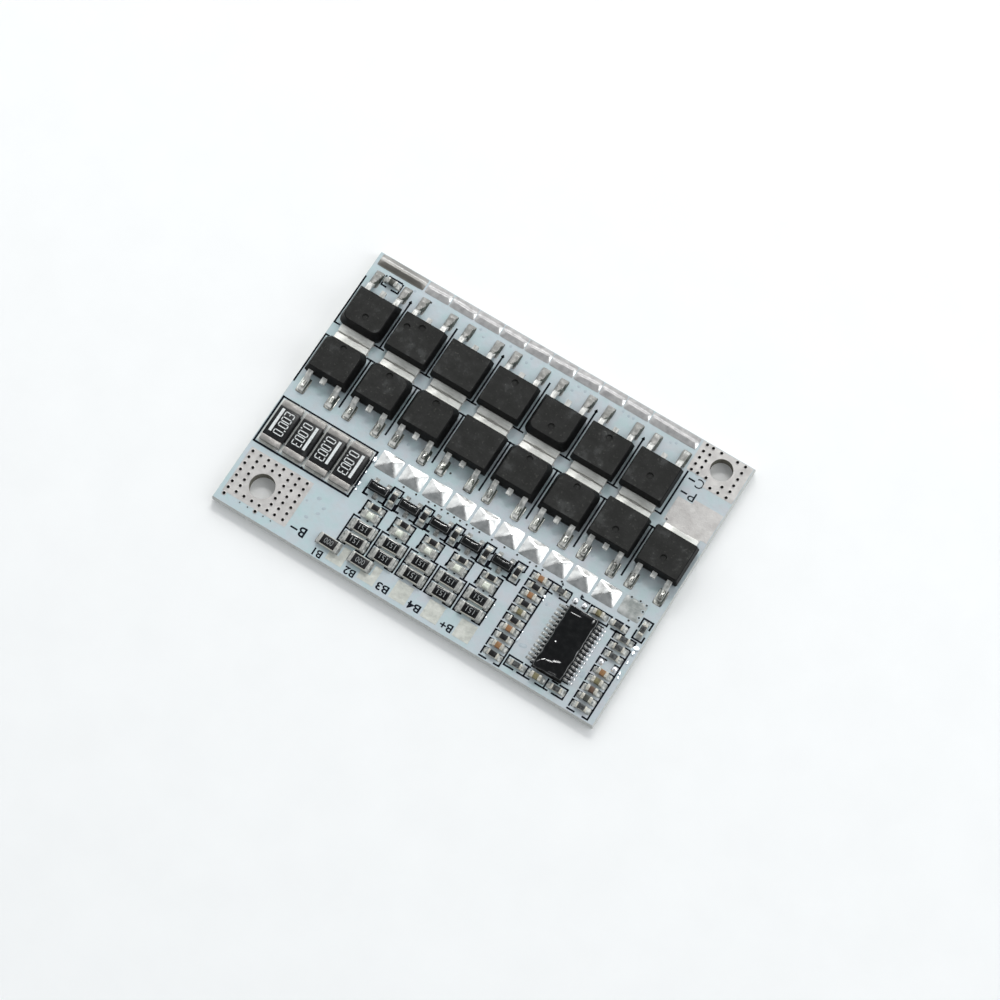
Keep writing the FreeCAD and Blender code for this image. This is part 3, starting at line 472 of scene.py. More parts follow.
def letters(text, left, low, right, high, level, weight=0.0):
    """Flat letters that fill a box on the board, turned half round about its middle."""
    drawn = bpy.data.curves.new("letters", "FONT")
    drawn.body = text
    drawn.offset = weight
    drawn.resolution_u = 3
    holder = bpy.data.objects.new("letters", drawn)
    mesh = bpy.data.meshes.new_from_object(holder)
    raw = [point.co.copy() for point in mesh.vertices]
    faces = [tuple(face.vertices) for face in mesh.polygons]
    bpy.data.objects.remove(holder)
    bpy.data.meshes.remove(mesh)
    x1, x2 = min(p.x for p in raw), max(p.x for p in raw)
    y1, y2 = min(p.y for p in raw), max(p.y for p in raw)
    return [(right - (p.x - x1) * (right - left) / (x2 - x1),
             high - (p.y - y1) * (high - low) / (y2 - y1), level) for p in raw], faces


pad_names = [("B", -17.5, -19.65, -16.45, -18.2), ("B1", -14.3, -20.85, -12.95, -19.75),
             ("B2", -9.4, -20.8, -7.75, -19.7), ("B3", -4.55, -20.35, -2.7, -19.2),
             ("B4", 0.4, -20.35, 2.3, -19.2), ("B+", 5.55, -20.35, 7.4, -19.2)]
thin_names = [("C", 24.3, 14.5, 25.4, 15.9), ("P", 24.3, 12.45, 25.3, 13.8)]
printed += [letters(*name, ink_level, weight=0.022) for name in pad_names]
printed += [letters(*name, ink_level) for name in thin_names]
printed.append(rules([(-19.0, -18.65, -17.8), (15.2, 23.2, 23.95), (13.1, 23.2, 23.95)]))
piece("silk_screen", joined(*printed), ink)

# Bare terminal pads: copper left open in the mask and tinned with hot-air solder. Rows of
# plated holes with small solder rims stitch the battery and charger pads to the other side.
# Plain pads take the load and cell wires, and tinned strips carry the transistors' tabs.
tin_level, lower_rim_level = board_top + 0.02, 0.05
tin = finish("levelled_tin", (1.6, 4, (0.3, (0.50, 0.48, 0.465)), (0.5, (0.57, 0.55, 0.535)),
                              (0.72, (0.65, 0.63, 0.61))),
             (0.7, 3, (0.3, 0.38), (0.7, 0.58)), 0.45, [(1.1, 3, 0.04), (0.18, 2, 0.012)])
cream = finish("fluxed_tin", (1.1, 4, (0.3, (0.50, 0.51, 0.47)), (0.5, (0.61, 0.62, 0.57)),
                              (0.75, (0.74, 0.74, 0.69))),
               (0.6, 3, (0.35, 0.34), (0.65, 0.5)), 0.3, [(0.7, 3, 0.05)])
# Dark plating for the insides of the via holes: painted shade of the narrow bores.
shaded_barrel = finish("via_barrel_painted_shade", (0.3, 3, (0.3, (0.05, 0.05, 0.05)), (0.7, (0.13, 0.12, 0.11))),
                0.6, 0.3)

battery_outline = [(-29.4, -19.6), (-19.35, -19.6), (-19.35, -12.3), (-29.4, -12.3)]
charge_outline = [(25.3, 15.05), (29.9, 15.05), (29.9, 20.92), (22.1, 20.92), (22.1, 16.2),
                  (25.3, 16.2)]
load_outline = [(23.2, 8.45), (29.9, 8.45), (29.9, 13.0), (25.4, 13.0), (25.4, 12.3),
                (23.2, 12.3)]


def rim_of_solder(x, y, level, side):
    """Raised solder ring at the mouth of a plated hole, on the upper or the lower side."""
    profile = [(0.0, -0.02), (0.01, 0.03), (0.045, 0.045), (0.09, 0.03), (0.13, 0.0)]
    shape = loft([level_ring(circle(x, y, via_radius + out, via_corners), level + side * rise)
                  for out, rise in profile])
    return shape if side < 0 else turned_over(shape)


def tinned_pad(outline, openings=()):
    """Thin tinned plate over the mask's level, with its border."""
    border = loft([level_ring(outline, board_top - 0.01), level_ring(outline, tin_level)])
    return joined(flat_sheet(outline, list(openings), tin_level), border)


for name, solid, outline, screw_rim, vias in (
        ("battery_pad", "battery_negative_pad", battery_outline, screw_rims[0], battery_vias),
        ("charger_pad", "charge_negative_pad", charge_outline, screw_rims[1], charge_vias)):
    mouths = [circle(x, y, via_radius, via_corners) for x, y in vias]
    rims = [rim_of_solder(x, y, tin_level, 1) for x, y in vias]
    plate = tinned_pad(outline, [screw_rim] + mouths)
    piece(name, joined(plate, *rims), tin, [solid])
# Via hole walls in the dark plating, painted shade.
barrels = [turned_over(loft([level_ring(rim, 0.0), level_ring(rim, board_top)]))
           for rim in via_rims]
piece("plated_hole_barrels", joined(*barrels), shaded_barrel)
lower_rims = [rim_of_solder(x, y, lower_rim_level, -1) for x, y in battery_vias + charge_vias]
piece("lower_hole_rims", joined(*lower_rims), tin)
piece("load_pad", tinned_pad(load_outline), tin, ["load_negative_pad"])

first_tap, tap_pitch, tap_half_length = -11.15, 5.02, 1.25
tap_low, tap_high, tap_notch = -20.35, -17.6, -19.2
taps = []
for step in range(5):
    x = first_tap + tap_pitch * step
    left, right = x - tap_half_length, x + tap_half_length
    outline = [(left, tap_low), (right, tap_low), (right, tap_high)]
    if step < 2:
        outline += [(x + 0.2, tap_high), (x + 0.2, tap_notch), (left, tap_notch)]
    else:
        outline.append((left, tap_high))
    taps.append(tinned_pad(outline))
piece("wire_tap_pads", joined(*taps), cream, ["cell_tap_pads"])

strip_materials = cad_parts["drain_strips"].data.materials
strip_materials.clear()
strip_materials.append(tin)

first_column, column_pitch = -26.05, 7.48
chamfer, gap_half = 0.36, 1.12
corners = []
for step in range(7):
    for side_x in (-1, 1):
        for y, side_y in ((6.98, 1), (8.74, -1)):
            x = first_column + column_pitch * (step + 0.5) + side_x * gap_half
            land = [(x, y, tin_level), (x - side_x * chamfer, y, tin_level),
                    (x, y + side_y * chamfer, tin_level)]
            corners.append((land, [(0, 1, 2) if side_x * side_y < 0 else (0, 2, 1)]))
piece("drain_corner_lands", joined(*corners), tin)

# Power transistors, bodies: black epoxy moulded in two halves that draft away from the
# parting line, with a shallow ejector mark on top. Two makes are mixed: one with large
# rounded corners and wide draft, the other nearly square.
seat = board_top + 0.08
body_half_width, body_half_length, body_height = 3.35, 3.05, 2.3
parting_height, lower_draft, top_edge = 0.9, 9, 0.13
mark_radius, mark_depth, mark_corners = 0.5, 0.2, 20
epoxy = finish("black_epoxy", None, (1.2, 4, (0.35, 0.62), (0.7, 0.46)),
               bumps=[(0.30, 4, 0.022), (0.09, 2, 0.008)], Specular_IOR_Level=0.18)
black = epoxy.node_tree
tinted(black, (grain(black, 2.4, 5, 0.6), (0.40, (0.015, 0.015, 0.014)),
               (0.56, (0.021, 0.021, 0.020)), (0.66, (0.044, 0.045, 0.044))),
       (grain(black, 0.34, 2), (0.62, 1.0), (0.72, (2.4, 2.4, 2.3))))
# Darker black for the transistors' side walls than for their tops: painted shade on the walls. The
# same black paints the shadow strips beside the shunts and the shade between the monitor chip's
# legs, and covers the lower walls of the small packages and the varnish's low border.
dark_epoxy_and_shade = finish("dark_epoxy_and_painted_shade", (0.8, 3, (0.3, 0.004), (0.7, 0.010)), 0.5,
                      bumps=[(0.2, 2, 0.010)], Specular_IOR_Level=0.12)

round_make, square_make = (1.0, 21), (0.22, 10)
upper_row = [(round_make, [(0, -1.05)]), (square_make, [(0.0, 1.7), (-1.9, 0.8)]),
             (square_make, []), (square_make, [(0, 1.7)]), (round_make, [(0, -1.05)]),
             (square_make, [(0, 1.7)]), (square_make, [(0, -0.35)])]
lower_row = [(round_make, [(0, -1.79)])] * 3 + [(square_make, [])]
lower_row += [(round_make, [(0, -1.79)])] * 2 + [(square_make, [(0, 0.95)])] * 2


def corner_ring(half_width, low, high, low_radius, high_radius, level, steps=6):
    """Rectangle with rounded corners, one radius at its low end and one at its high end."""
    ring = []
    for x, y, radius, start in ((half_width, low, low_radius, -90),
                                (half_width, high, high_radius, 0),
                                (-half_width, high, high_radius, 90),
                                (-half_width, low, low_radius, 180)):
        centre_x = x - math.copysign(radius, x)
        centre_y = y + radius if start in (-90, 180) else y - radius
        for step in range(steps + 1):
            angle = math.radians(start + 90 * step / steps)
            ring.append((centre_x + radius * math.cos(angle),
                         centre_y + radius * math.sin(angle), level))
    return ring


def moulded_body(corner, draft, marks):
    """One body about its own middle, tab end at low y, and its faces' material numbers."""
    def ring(level, inset, radius):
        return corner_ring(body_half_width - inset, inset - body_half_length,
                           body_half_length - inset, max(radius, 0.08), 0.16, level)

    lower = parting_height * math.tan(math.radians(lower_draft))
    shoulder = body_height - top_edge
    reach = (shoulder - parting_height) * math.tan(math.radians(draft))
    rings = [ring(0.0, lower, corner - lower / 2), ring(parting_height - 0.03, 0.005, corner),
             ring(parting_height, 0.0, corner), ring(parting_height + 0.03, 0.012, corner),
             ring(shoulder, reach, corner * 0.95)]
    for angle in (math.radians(30), math.radians(60), math.radians(90)):
        rings.append(ring(shoulder + top_edge * math.sin(angle),
                          reach + top_edge * (1 - math.cos(angle)) * 0.9, corner * 0.92))
    walls = loft(rings, close_first=True)
    mouths = [circle(x, y, mark_radius, mark_corners) for x, y in marks]
    top = flat_sheet([(x, y) for x, y, _ in rings[-1]], mouths, body_height)
    dimples = []
    for (x, y), mouth in zip(marks, mouths):
        floor_level = body_height - mark_depth
        rings = [level_ring(mouth, body_height),
                 level_ring(circle(x, y, mark_radius - 0.05, mark_corners), floor_level),
                 level_ring(circle(x, y, 0.2, mark_corners), floor_level + 0.01)]
        dimples.append(loft(rings, close_last=True))
    return numbered(joined(top, *dimples), walls)


def placed(shape, x, y, z, turn=0):
    """Copy of a shape, turned about the vertical and moved."""
    spin = Matrix.Translation((x, y, z)) @ Matrix.Rotation(math.radians(turn), 4, "Z")
    points, faces = shape
    return [tuple(spin @ Vector(point)) for point in points], faces


transistors = []
for row, row_y, turn in ((upper_row, 11.95, 0), (lower_row, 3.65, 180)):
    for column, (make, marks) in enumerate(row):
        x, y = first_column + column_pitch * column, row_y + (0.35 if column > 5 else 0.0)
        transistors.append((x, y, turn))
        count = len(transistors)
        body, skins = moulded_body(*make, marks)
        # Walls in the darker black, painted shade.
        piece(f"transistor_body_{count}", placed(body, x, y, seat, turn), [epoxy, dark_epoxy_and_shade],
              [f"mosfet_moulding_{count}"], soft_angle=28, marks=skins)

# Power transistors, metal: a stamped and tinned copper tab that is soldered down flat, the
# cut-off middle lead, and two bent leads that reach the board. One set per transistor.
metal, lead_width, lead_offset = 0.5, 0.76, 2.28
tab_half_width, tab_reach, tab_notch, tab_edge = 2.62, 1.0, 0.07, 0.05
plating = finish("tin_plating", ((0.7 / 1.8, 1.4, 0.7), 2, (0.32, (0.38, 0.38, 0.36)),
                                 (0.5, (0.56, 0.56, 0.54)), (0.7, (0.74, 0.73, 0.70))),
                 (0.6, 2, (0.3, 0.38), (0.7, 0.56)), 0.35, [(0.7, 2, 0.025)])
tab_tin = finish("matt_tin_tab", ((1.2, 0.3, 1.2), 4, (0.3, (0.64, 0.64, 0.60)),
                                  (0.5, (0.76, 0.76, 0.72)), (0.72, (0.88, 0.86, 0.82))),
                 0.42, 0.28, [((0.4, 0.1, 0.4), 3, 0.02)])


def bevelled_strip(profile, width, edge):
    """Sheet metal of that width along a side profile (y, z), its long edges softened."""
    inner = []
    for i, (y, z) in enumerate(profile):
        (y1, z1), (y2, z2) = profile[i - 1], profile[(i + 1) % len(profile)]
        a = Vector((y - y1, z - z1)).normalized()
        b = Vector((y2 - y, z2 - z)).normalized()
        normal = Vector((-(a.y + b.y), a.x + b.x)).normalized()
        inner.append((y + normal.x * edge, z + normal.y * edge))
    half = width / 2
    rings = [[(x, y, z) for y, z in outline]
             for x, outline in ((-half, inner), (-half + edge, profile), (half - edge, profile),
                                (half, inner))]
    return loft(rings, close_first=True, close_last=True)


root, knee = parting_height, parting_height + metal
lead = bevelled_strip([(1.6, root), (3.35, root), (3.5, root - 0.08), (4.05, 0.1), (4.2, 0.0),
                       (5.85, 0.0), (5.85, metal - 0.05), (5.8, metal), (4.5, metal),
                       (4.35, metal + 0.12), (3.85, knee - 0.15), (3.75, knee - 0.04),
                       (3.6, knee), (1.6, knee)], lead_width, 0.06)
stub = bevelled_strip([(1.2, root), (3.8, root), (3.8, knee), (1.2, knee)], lead_width, 0.05)
low, wide = -body_half_length - tab_reach, tab_half_width
tab_outline = [(-wide + 0.12, low), (-0.9, low), (-0.8, low + tab_notch), (0.8, low + tab_notch),
               (0.9, low), (wide - 0.12, low), (wide, low + 0.12), (wide, 2.0), (-wide, 2.0),
               (-wide, low + 0.12)]
tab_top = [(x - math.copysign(tab_edge, x), y + (tab_edge if y < 0 else -tab_edge))
           for x, y in tab_outline]
tab = loft([level_ring(tab_outline, 0.0), level_ring(tab_outline, metal - tab_edge),
            level_ring(tab_top, metal)], close_first=True, close_last=True)
frame_metal, metal_skins = numbered(tab, joined(stub, placed(lead, -lead_offset, 0, 0),
                                                placed(lead, lead_offset, 0, 0)))
for count, (x, y, turn) in enumerate(transistors, 1):
    piece(f"transistor_metal_{count}", placed(frame_metal, x, y, seat, turn),
          [tab_tin, plating], [f"mosfet_leadframe_{count}"], soft_angle=40,
          marks=metal_skins)

# Solder of the power transistors' leads. On the upper row a broad dull cushion buries the
# foot; on the lower row a narrow bright ridge with frozen lumps climbs it.
foot_top, least_solder, border_top = 0.08 + metal + 0.11, 0.012, 0.02
# Its base colour runs in long random streaks from dark to near white: painted reflections.
solder = finish("solder_with_painted_streaks", ((0.8 / 1.2, 2.0, 0.8), 2, (0.36, (0.16, 0.16, 0.15)),
                                  (0.46, (0.50, 0.49, 0.46)), (0.58, (0.88, 0.87, 0.80))),
                (0.8, 2, (0.3, 0.12), (0.7, 0.28)), 0.8, [((0.8, 1.6, 0.8), 2, 0.05)])
# Near-black solder for the faces that lean toward +x, away from the light: painted shade.
shaded_foot_solder = finish("foot_solder_painted_shade", (0.6, 2, (0.35, (0.035, 0.04, 0.035)),
                                      (0.65, (0.13, 0.14, 0.12))), 0.32, 0.5)
dull_solder = finish("dull_solder", (0.9, 4, (0.3, (0.22, 0.215, 0.20)),
                                     (0.5, (0.29, 0.285, 0.27)), (0.72, (0.40, 0.39, 0.375))),
                     (0.4, 3, (0.35, 0.34), (0.7, 0.56)), 0.25,
                     [(0.5, 3, 0.04), (0.14, 2, 0.01)])


def grid_faces(columns, rows):
    """Faces of a grid whose points run row by row."""
    faces, across = [], columns + 1
    for low in range(0, rows * across, across):
        faces += [(i, i + 1, i + across + 1, i + across) for i in range(low, low + columns)]
    return faces


def solder_patch(length, width, rise, x, y, turn=0, grid=(12, 20), corner=0.10, level=board_top):
    """Height field on a rounded rectangle, moved to its place; rise(x, y) is the surface about
    its own middle."""
    points, (columns, rows) = [], grid
    round_off = corner * min(length, width)
    for row in range(rows + 1):
        for column in range(columns + 1):
            u, v = 2 * column / columns - 1, 2 * row / rows - 1
            across = u * (length / 2 - round_off * v ** 8)
            along = v * (width / 2 - round_off * u ** 8)
            height = rise(across, along)
            if max(abs(u), abs(v)) > 0.999:
                height = min(height, border_top)
            points.append((across, along, height))
    return placed((points, grid_faces(columns, rows)), x, y, level, turn)


def fresh_seed(rng):
    """Random place in the field of waves."""
    return Vector((rng.uniform(0, 99), rng.uniform(0, 99), 0))


def waves(x, y, pitch, seed, layer=0):
    """Smooth rise and fall about 0, with about that many waves in a millimetre."""
    return noise.noise(Vector((x * pitch, y * pitch, layer)) + seed)


def between(low, value, high):
    """Value held between two limits."""
    return min(high, max(low, value))


def cushion_rise(rng):
    """Surface of a broad cushion that buries a foot, in the transistor's own directions."""
    reach, seed = rng.uniform(0.7, 1.1), fresh_seed(rng)
    fullness, lean = rng.uniform(2.3, 3.2), rng.uniform(-0.07, 0.07)

    def rise(x, y):
        half = 0.69 - 0.22 * between(0.0, (-0.15 - y) / 0.9, 1.0)
        across = max(0.0, 1 - abs((x - lean * y) / half) ** fullness)
        along = between(0.0, (1.26 - y) / reach, 1.0) ** 0.8
        climb = 0.75 * between(0.0, -0.45 - y, 0.5)
        height = (foot_top + 0.09 * waves(x, y, 1.7, seed) + climb) * across ** 0.7 * along
        return max(least_solder, height)
    return rise


def foot_rise(rng):
    """Surface of the bright ridge round one foot, in the transistor's own directions."""
    seed = fresh_seed(rng)
    lumps = [(rng.uniform(-0.15, 0.15), at + rng.uniform(-0.15, 0.15), rng.uniform(0.28, 0.42))
             for at in (-0.75, -0.1, 0.5)]
    lean = rng.uniform(-0.12, 0.12)

    def rise(x, y):
        beside = max(0.0, abs(x - lean * 0.5) - lead_width / 2 + 0.05) / 0.34
        beyond = max(0.0, y - 0.42) / 0.8
        still = 1 - min(1.0, math.hypot(beside, beyond))
        height = 0.015 + (foot_top - 0.015) * still ** 1.9
        height += sum(0.3 * size * math.exp(-((x - at_x) / size) ** 2 - ((y - at_y) / size) ** 2)
                      for at_x, at_y, size in lumps)
        height += 0.09 * waves(x, y, 1.6, seed) * still
        height -= 0.10 * (x / 0.4) ** 2 * still
        return max(height, least_solder)
    return rise


def leaning(shape, toward, least):
    """Material numbers of a shape: 1 on the faces that lean far enough toward a side."""
    points, faces = shape
    marks = []
    for face in faces:
        a, b, c = (Vector(points[i]) for i in face[:3])
        normal = (b - a).cross(c - b).normalized()
        marks.append(1 if normal.dot(Vector(toward)) > least else 0)
    return marks


rng = random.Random(11)
# Faces that lean toward +x past a limit take the near-black solder, painted shade.
for name, row_turn, foot_y, foot, skin, least in (
        ("upper_lead_solder", 0, 17.2, cushion_rise, dull_solder, 0.66),
        ("lower_lead_solder", 180, -1.2, foot_rise, solder, 0.36)):
    shape = joined(*[solder_patch(1.38, 2.5, foot(rng), x + side * lead_offset, foot_y, turn,
                                  (14, 22), 0.05)
                     for x, y, turn in transistors if turn == row_turn for side in (-1, 1)])
    piece(name, shape, [skin, shaded_foot_solder], soft_angle=70,
          marks=leaning(shape, (1, 0, 0), least))

# Solder rails: mask openings over the heavy copper, filled with hand-fed solder that froze
# in slanting pillows. One runs along the edge, the other below the transistors.
rail_y, rail_width, rail_shelf = 20.02, 1.85, 0.62
rail_windows = [(-29.55, -22.05), (-21.8, -17.9), (-17.78, -13.8), (-13.68, -9.7), (-9.58, -5.7),
                (-5.58, -1.7), (-1.58, 2.2), (2.32, 6.28), (6.4, 10.15), (10.27, 14.23),
                (14.35, 21.75)]
long_slopes, short_slopes = (0.5, 0.6, 0.55, 1.1), (0.45, 0.55, 0.34, 0.85)
middle_y, middle_width = -4.58, 2.85
first_pillow, pillow_pitch, pillow_length = -12.205, 3.825, 3.44
pillow_slopes, window_slopes = (0.28, 0.42, 0.34, 0.49), (0.4, 0.4, 0.4, 0.4)
# Bright, fully metal solder: the solder of the middle pillows, and a painted highlight on the faces
# of the edge rail that lean toward +x.
lit_rail_solder = finish("lit_rail_solder", (0.8, 4, (0.3, (0.64, 0.64, 0.63)), (0.5, (0.76, 0.76, 0.75)),
                                     (0.75, (0.86, 0.85, 0.83))),
                     (0.7, 3, (0.35, 0.27), (0.65, 0.38)), 1.0, [(1.1, 2, 0.03)])
edge_solder = finish("edge_rail_solder", (0.8, 4, (0.3, (0.37, 0.36, 0.36)),
                                          (0.5, (0.46, 0.45, 0.45)), (0.75, (0.56, 0.55, 0.54))),
                     (0.5, 4, (0.35, 0.28), (0.65, 0.42)), 0.35, [(0.8, 2, 0.03)])
# Brown solder of the long lump, with a ramp across the rail: darker over the front slope, painted
# shade, and lighter near the ridge, a painted highlight.
shaded_brown_solder = finish("brown_rail_solder_painted_shade", None, 0.3, 0.4, [(1.0, 2, 0.03)])
shaded_brown_tree = shaded_brown_solder.node_tree
tinted(shaded_brown_tree, (run_of(shaded_brown_tree, "Y", 19.1, 20.95), (0.0, (0.26, 0.25, 0.23)),
               (0.12, (0.14, 0.13, 0.115)), (0.38, (0.17, 0.16, 0.145)),
               (0.55, (0.40, 0.39, 0.37)), (0.75, (0.33, 0.32, 0.31))),
       (grain(shaded_brown_tree, (5.5, 2.2, 2.2)), (0.35, 0.8), (0.65, 1.3)))
# Darker copy of the rail solder for the pillow faces that lean toward the viewer: painted shade.
shaded_rail_solder = finish("rail_solder_painted_shade", (1.0, 3, (0.35, (0.36, 0.37, 0.37)), (0.65, 0.56)), 0.3, 1.0)
window_tin = finish("grey_window_tin", (1.2, 4, (0.38, (0.27, 0.29, 0.28)),
                                        (0.62, (0.48, 0.49, 0.48))), 0.5, 0.3, [(0.8, 3, 0.04)])


def pillow(x, y, length, width, slopes, cap=9.0, softness=0.05, shelf=0.0):
    """Frozen solder over one opening: slanting planes, with a flat shelf along the far side."""
    seed = fresh_seed(rng)
    to_left, to_right, to_low, to_high = [slope * rng.uniform(0.88, 1.12) for slope in slopes]
    skew = rng.uniform(-0.06, 0.06)

    def rise(x, y):
        bend = 0.12 * waves(x, y, 0.8, seed, 7)
        behind = width / 2 - y - skew * x
        planes = ((x + length / 2 + bend) * to_left, (length / 2 - x + bend) * to_right,
                  (y + width / 2 + skew * x) * to_low,
                  0.04 * min(behind, shelf) + max(0.0, behind - shelf) * to_high, cap)
        height = -softness * math.log(sum(math.exp(-plane / softness) for plane in planes))
        ripple = 0.04 * waves(x, y, 1.3, seed) + 0.005 * waves(x, y, 4.1, seed, 4)
        return max(least_solder, height + ripple * between(0.0, height / 0.3, 1.0) + 0.02)
    grid = (max(12, int(length * 9)), max(12, int(width * 11)))
    return solder_patch(length, width, rise, x, y, grid=grid, corner=0.03)


rng = random.Random(23)
rail_lumps = [pillow((left + right) / 2, rail_y, right - left, rail_width,
                     long_slopes if left < -25 else short_slopes, 0.5, shelf=rail_shelf)
              for left, right in rail_windows]
# Faces that lean toward +x take the bright solder, a painted highlight on the lumps' right ends.
rail_shape = joined(*rail_lumps[1:])
piece("edge_solder_rail", rail_shape, [edge_solder, lit_rail_solder], ["top_solder_rail"],
      soft_angle=70, marks=leaning(rail_shape, (1, 0, 0), 0.36))
# The long lump in the brown solder with its painted shade and highlight.
piece("long_rail_lump", rail_lumps[0], shaded_brown_solder, soft_angle=70)
# Pillow faces that lean toward -y take the darker copy, painted shade.
pillow_shape = joined(*[pillow(first_pillow + pillow_pitch * step, middle_y, pillow_length,
                               middle_width, pillow_slopes, softness=0.03) for step in range(10)])
piece("middle_solder_pillows", pillow_shape, [lit_rail_solder, shaded_rail_solder],
      ["middle_solder_rail"], soft_angle=70, marks=leaning(pillow_shape, (0, -1, 0), 0.22))
flat_window = pillow(26.2, middle_y, 3.35, middle_width, window_slopes, 0.12, 0.02)
piece("last_solder_window", flat_window, window_tin, soft_angle=70)

# Shunt resistors: a metal strip under black glaze with a value printed in white, wide
# tinned ends, each end soldered to a pad with a shallow fillet.
shunt_y, shunt_pitch, first_shunt = -7.68, 3.72, -27.62
shunt_length, shunt_width, shunt_height, shunt_end = 6.4, 3.2, 0.65, 0.85
print_depth, print_level = 0.006, seat + shunt_height + 0.006
rib_level, rib_depth = board_top + 0.05, 0.05
# Places and widths of the whitish stripes between the shunts, painted highlights of glare on the
# mask.
glare_stripe_places = [(-29.42, 0.26), (-25.76, 0.34), (-22.04, 0.34), (-18.32, 0.34), (-14.74, 0.15)]
glaze = finish("black_glaze", (1.1, 4, (0.35, (0.008, 0.008, 0.009)), (0.6, (0.012, 0.012, 0.013)),
                               (0.72, 0.034)),
               (0.6, 3, (0.3, 0.25), (0.7, 0.42)), bumps=[(0.12, 2, 0.010)],
               Specular_IOR_Level=0.3)
end_metal = finish("brushed_tin_ends", (0.7, 3, (0.3, (0.28, 0.27, 0.255)),
                                        (0.55, (0.36, 0.345, 0.33)), (0.75, (0.50, 0.475, 0.45))),
                   ((0.25, 0.05, 0.25), 3, (0.3, 0.32), (0.7, 0.52)), 0.5,
                   [((0.2, 0.05, 0.2), 3, 0.015)])
paint = finish("printed_value", (0.15, 2, (0.3, (0.50, 0.52, 0.53)),
                                 (0.5, (0.72, 0.74, 0.74))), 0.6)
coated_tin = finish("varnished_solder", (0.6, 3, (0.35, (0.44, 0.44, 0.41)),
                                         (0.65, (0.70, 0.70, 0.67))), 0.3, 0.15, [(0.5, 2, 0.03)])
# Whitish paint for those stripes: painted glare.
glare_paint = finish("painted_mask_glare", (0.5, 3, (0.3, (0.60, 0.61, 0.59)), (0.7, (0.80, 0.81, 0.78))),
                 0.3)


def stepped_block(length, width, corner, rings):
    """Closed block about its middle, built up from rings that each are an inset and a level."""
    return loft([corner_ring(length / 2 - inset, inset - width / 2, width / 2 - inset, corner,
                             corner, level, steps=3) for inset, level in rings],
                close_first=True, close_last=True)


def soft_block(length, width, height, edge, corner=0.08):
    """Block about its middle, standing on level 0, with softened edges."""
    return stepped_block(length, width, corner, [
        (edge * 0.5, 0.0), (0.0, edge * 0.5), (0.0, height - edge),
        (edge * 0.3, height - edge * 0.3), (edge, height)])


def end_rise(rng, reach, body_width, height, side):
    """Solder at a chip's end: x runs outward from the middle of the pad."""
    seed = fresh_seed(rng)
    top = height * rng.uniform(0.75, 1.0)

    def rise(x, y):
        beyond = max(0.0, x + reach) / (2 * reach)
        beside = max(0.0, abs(y) - body_width / 2 + 0.04) / side
        still = 1 - min(1.0, math.hypot(beyond, beside))
        ripple = 0.10 * height * waves(x, y, 3, seed)
        return max(least_solder, (top + ripple) * still ** 1.7 + 0.012)
    return rise


def block_number(text, x, y, turn):
    """Number drawn with straight strokes, as a print screen for resistors does."""
    drawn = {"0": [(0, 0), (1, 0), (1, 1), (0, 1), (0, 0)], "3": [(0, 1), (1, 1), (1, 0), (0, 0)]}
    wide, tall, gap, dot, pen = 0.54, 1.36, 0.28, 0.12, 0.14
    total = sum(dot if sign == "." else wide for sign in text) + gap * (len(text) - 1)
    at, strokes = -total / 2, []
    for sign in text:
        if sign == ".":
            strokes.append((at + dot / 2, -tall / 2, at + dot / 2, 0.04 - tall / 2, pen + 0.04))
            at += dot + gap
            continue
        points = [(at + u * wide, (v - 0.5) * tall) for u, v in drawn[sign]]
        strokes += [(*a, *b, pen) for a, b in zip(points, points[1:])]
        if sign == "3":
            strokes.append((at + 0.25, 0, at + wide, 0, pen))
        at += wide + gap
    return placed(joined(*[bar(*stroke, print_level, print_depth) for stroke in strokes]),
                  x, y, 0, turn)


rng = random.Random(31)
body = soft_block(shunt_width, shunt_length - 2 * shunt_end, shunt_height, 0.09)
cap = soft_block(shunt_width - 0.06, shunt_end, shunt_height - 0.03, 0.10)
# Thin black strip for the painted shadow along the right side of each shunt.
flank = soft_block(0.16, 4.0, 0.5, 0.05, 0.02)
caps, fillets, values, shunt_shadow_strips = [], [], [], []
for shunt in range(4):
    x = first_shunt + shunt_pitch * shunt
    piece(f"shunt_body_{shunt + 1}", placed(body, x, shunt_y, seat), glaze,
          [f"shunt_resistor_{shunt + 1}"])
    for side in (-1, 1):
        caps.append(placed(cap, x, shunt_y + side * (shunt_length - shunt_end) / 2, seat))
        fillets.append(solder_patch(1.6, 3.2, end_rise(rng, 0.36, 3.1, 0.5, 0.15), x,
                                    shunt_y + side * 2.75, 90 * side, (12, 16), 0.03))
    bar_x, text_x, turn = (x - 0.90, x + 0.30, 90) if shunt == 0 else (x + 0.80, x - 0.45, -90)
    values.append(bar(bar_x, shunt_y - 1.4, bar_x, shunt_y + 1.85, 0.42, print_level, print_depth))
    values.append(block_number("0.003", text_x, shunt_y + 0.15, turn))
    # Painted shadow beside the shunt's right side.
    shunt_shadow_strips.append(placed(flank, x + 1.66, shunt_y + 0.1, board_top))
piece("shunt_ends", joined(*caps), end_metal, ["shunt_terminals"])
piece("shunt_solder", joined(*fillets), coated_tin, soft_angle=60)
piece("shunt_values", joined(*values), paint)
# Raised whitish stripes between the shunts: painted highlights.
glare_stripes = [bar(x, -4.4, x, -10.95, width, rib_level, rib_depth) for x, width in glare_stripe_places]
piece("painted_glare_stripes", joined(*glare_stripes), glare_paint)
piece("shunt_painted_shadow", joined(*shunt_shadow_strips), dark_epoxy_and_shade)

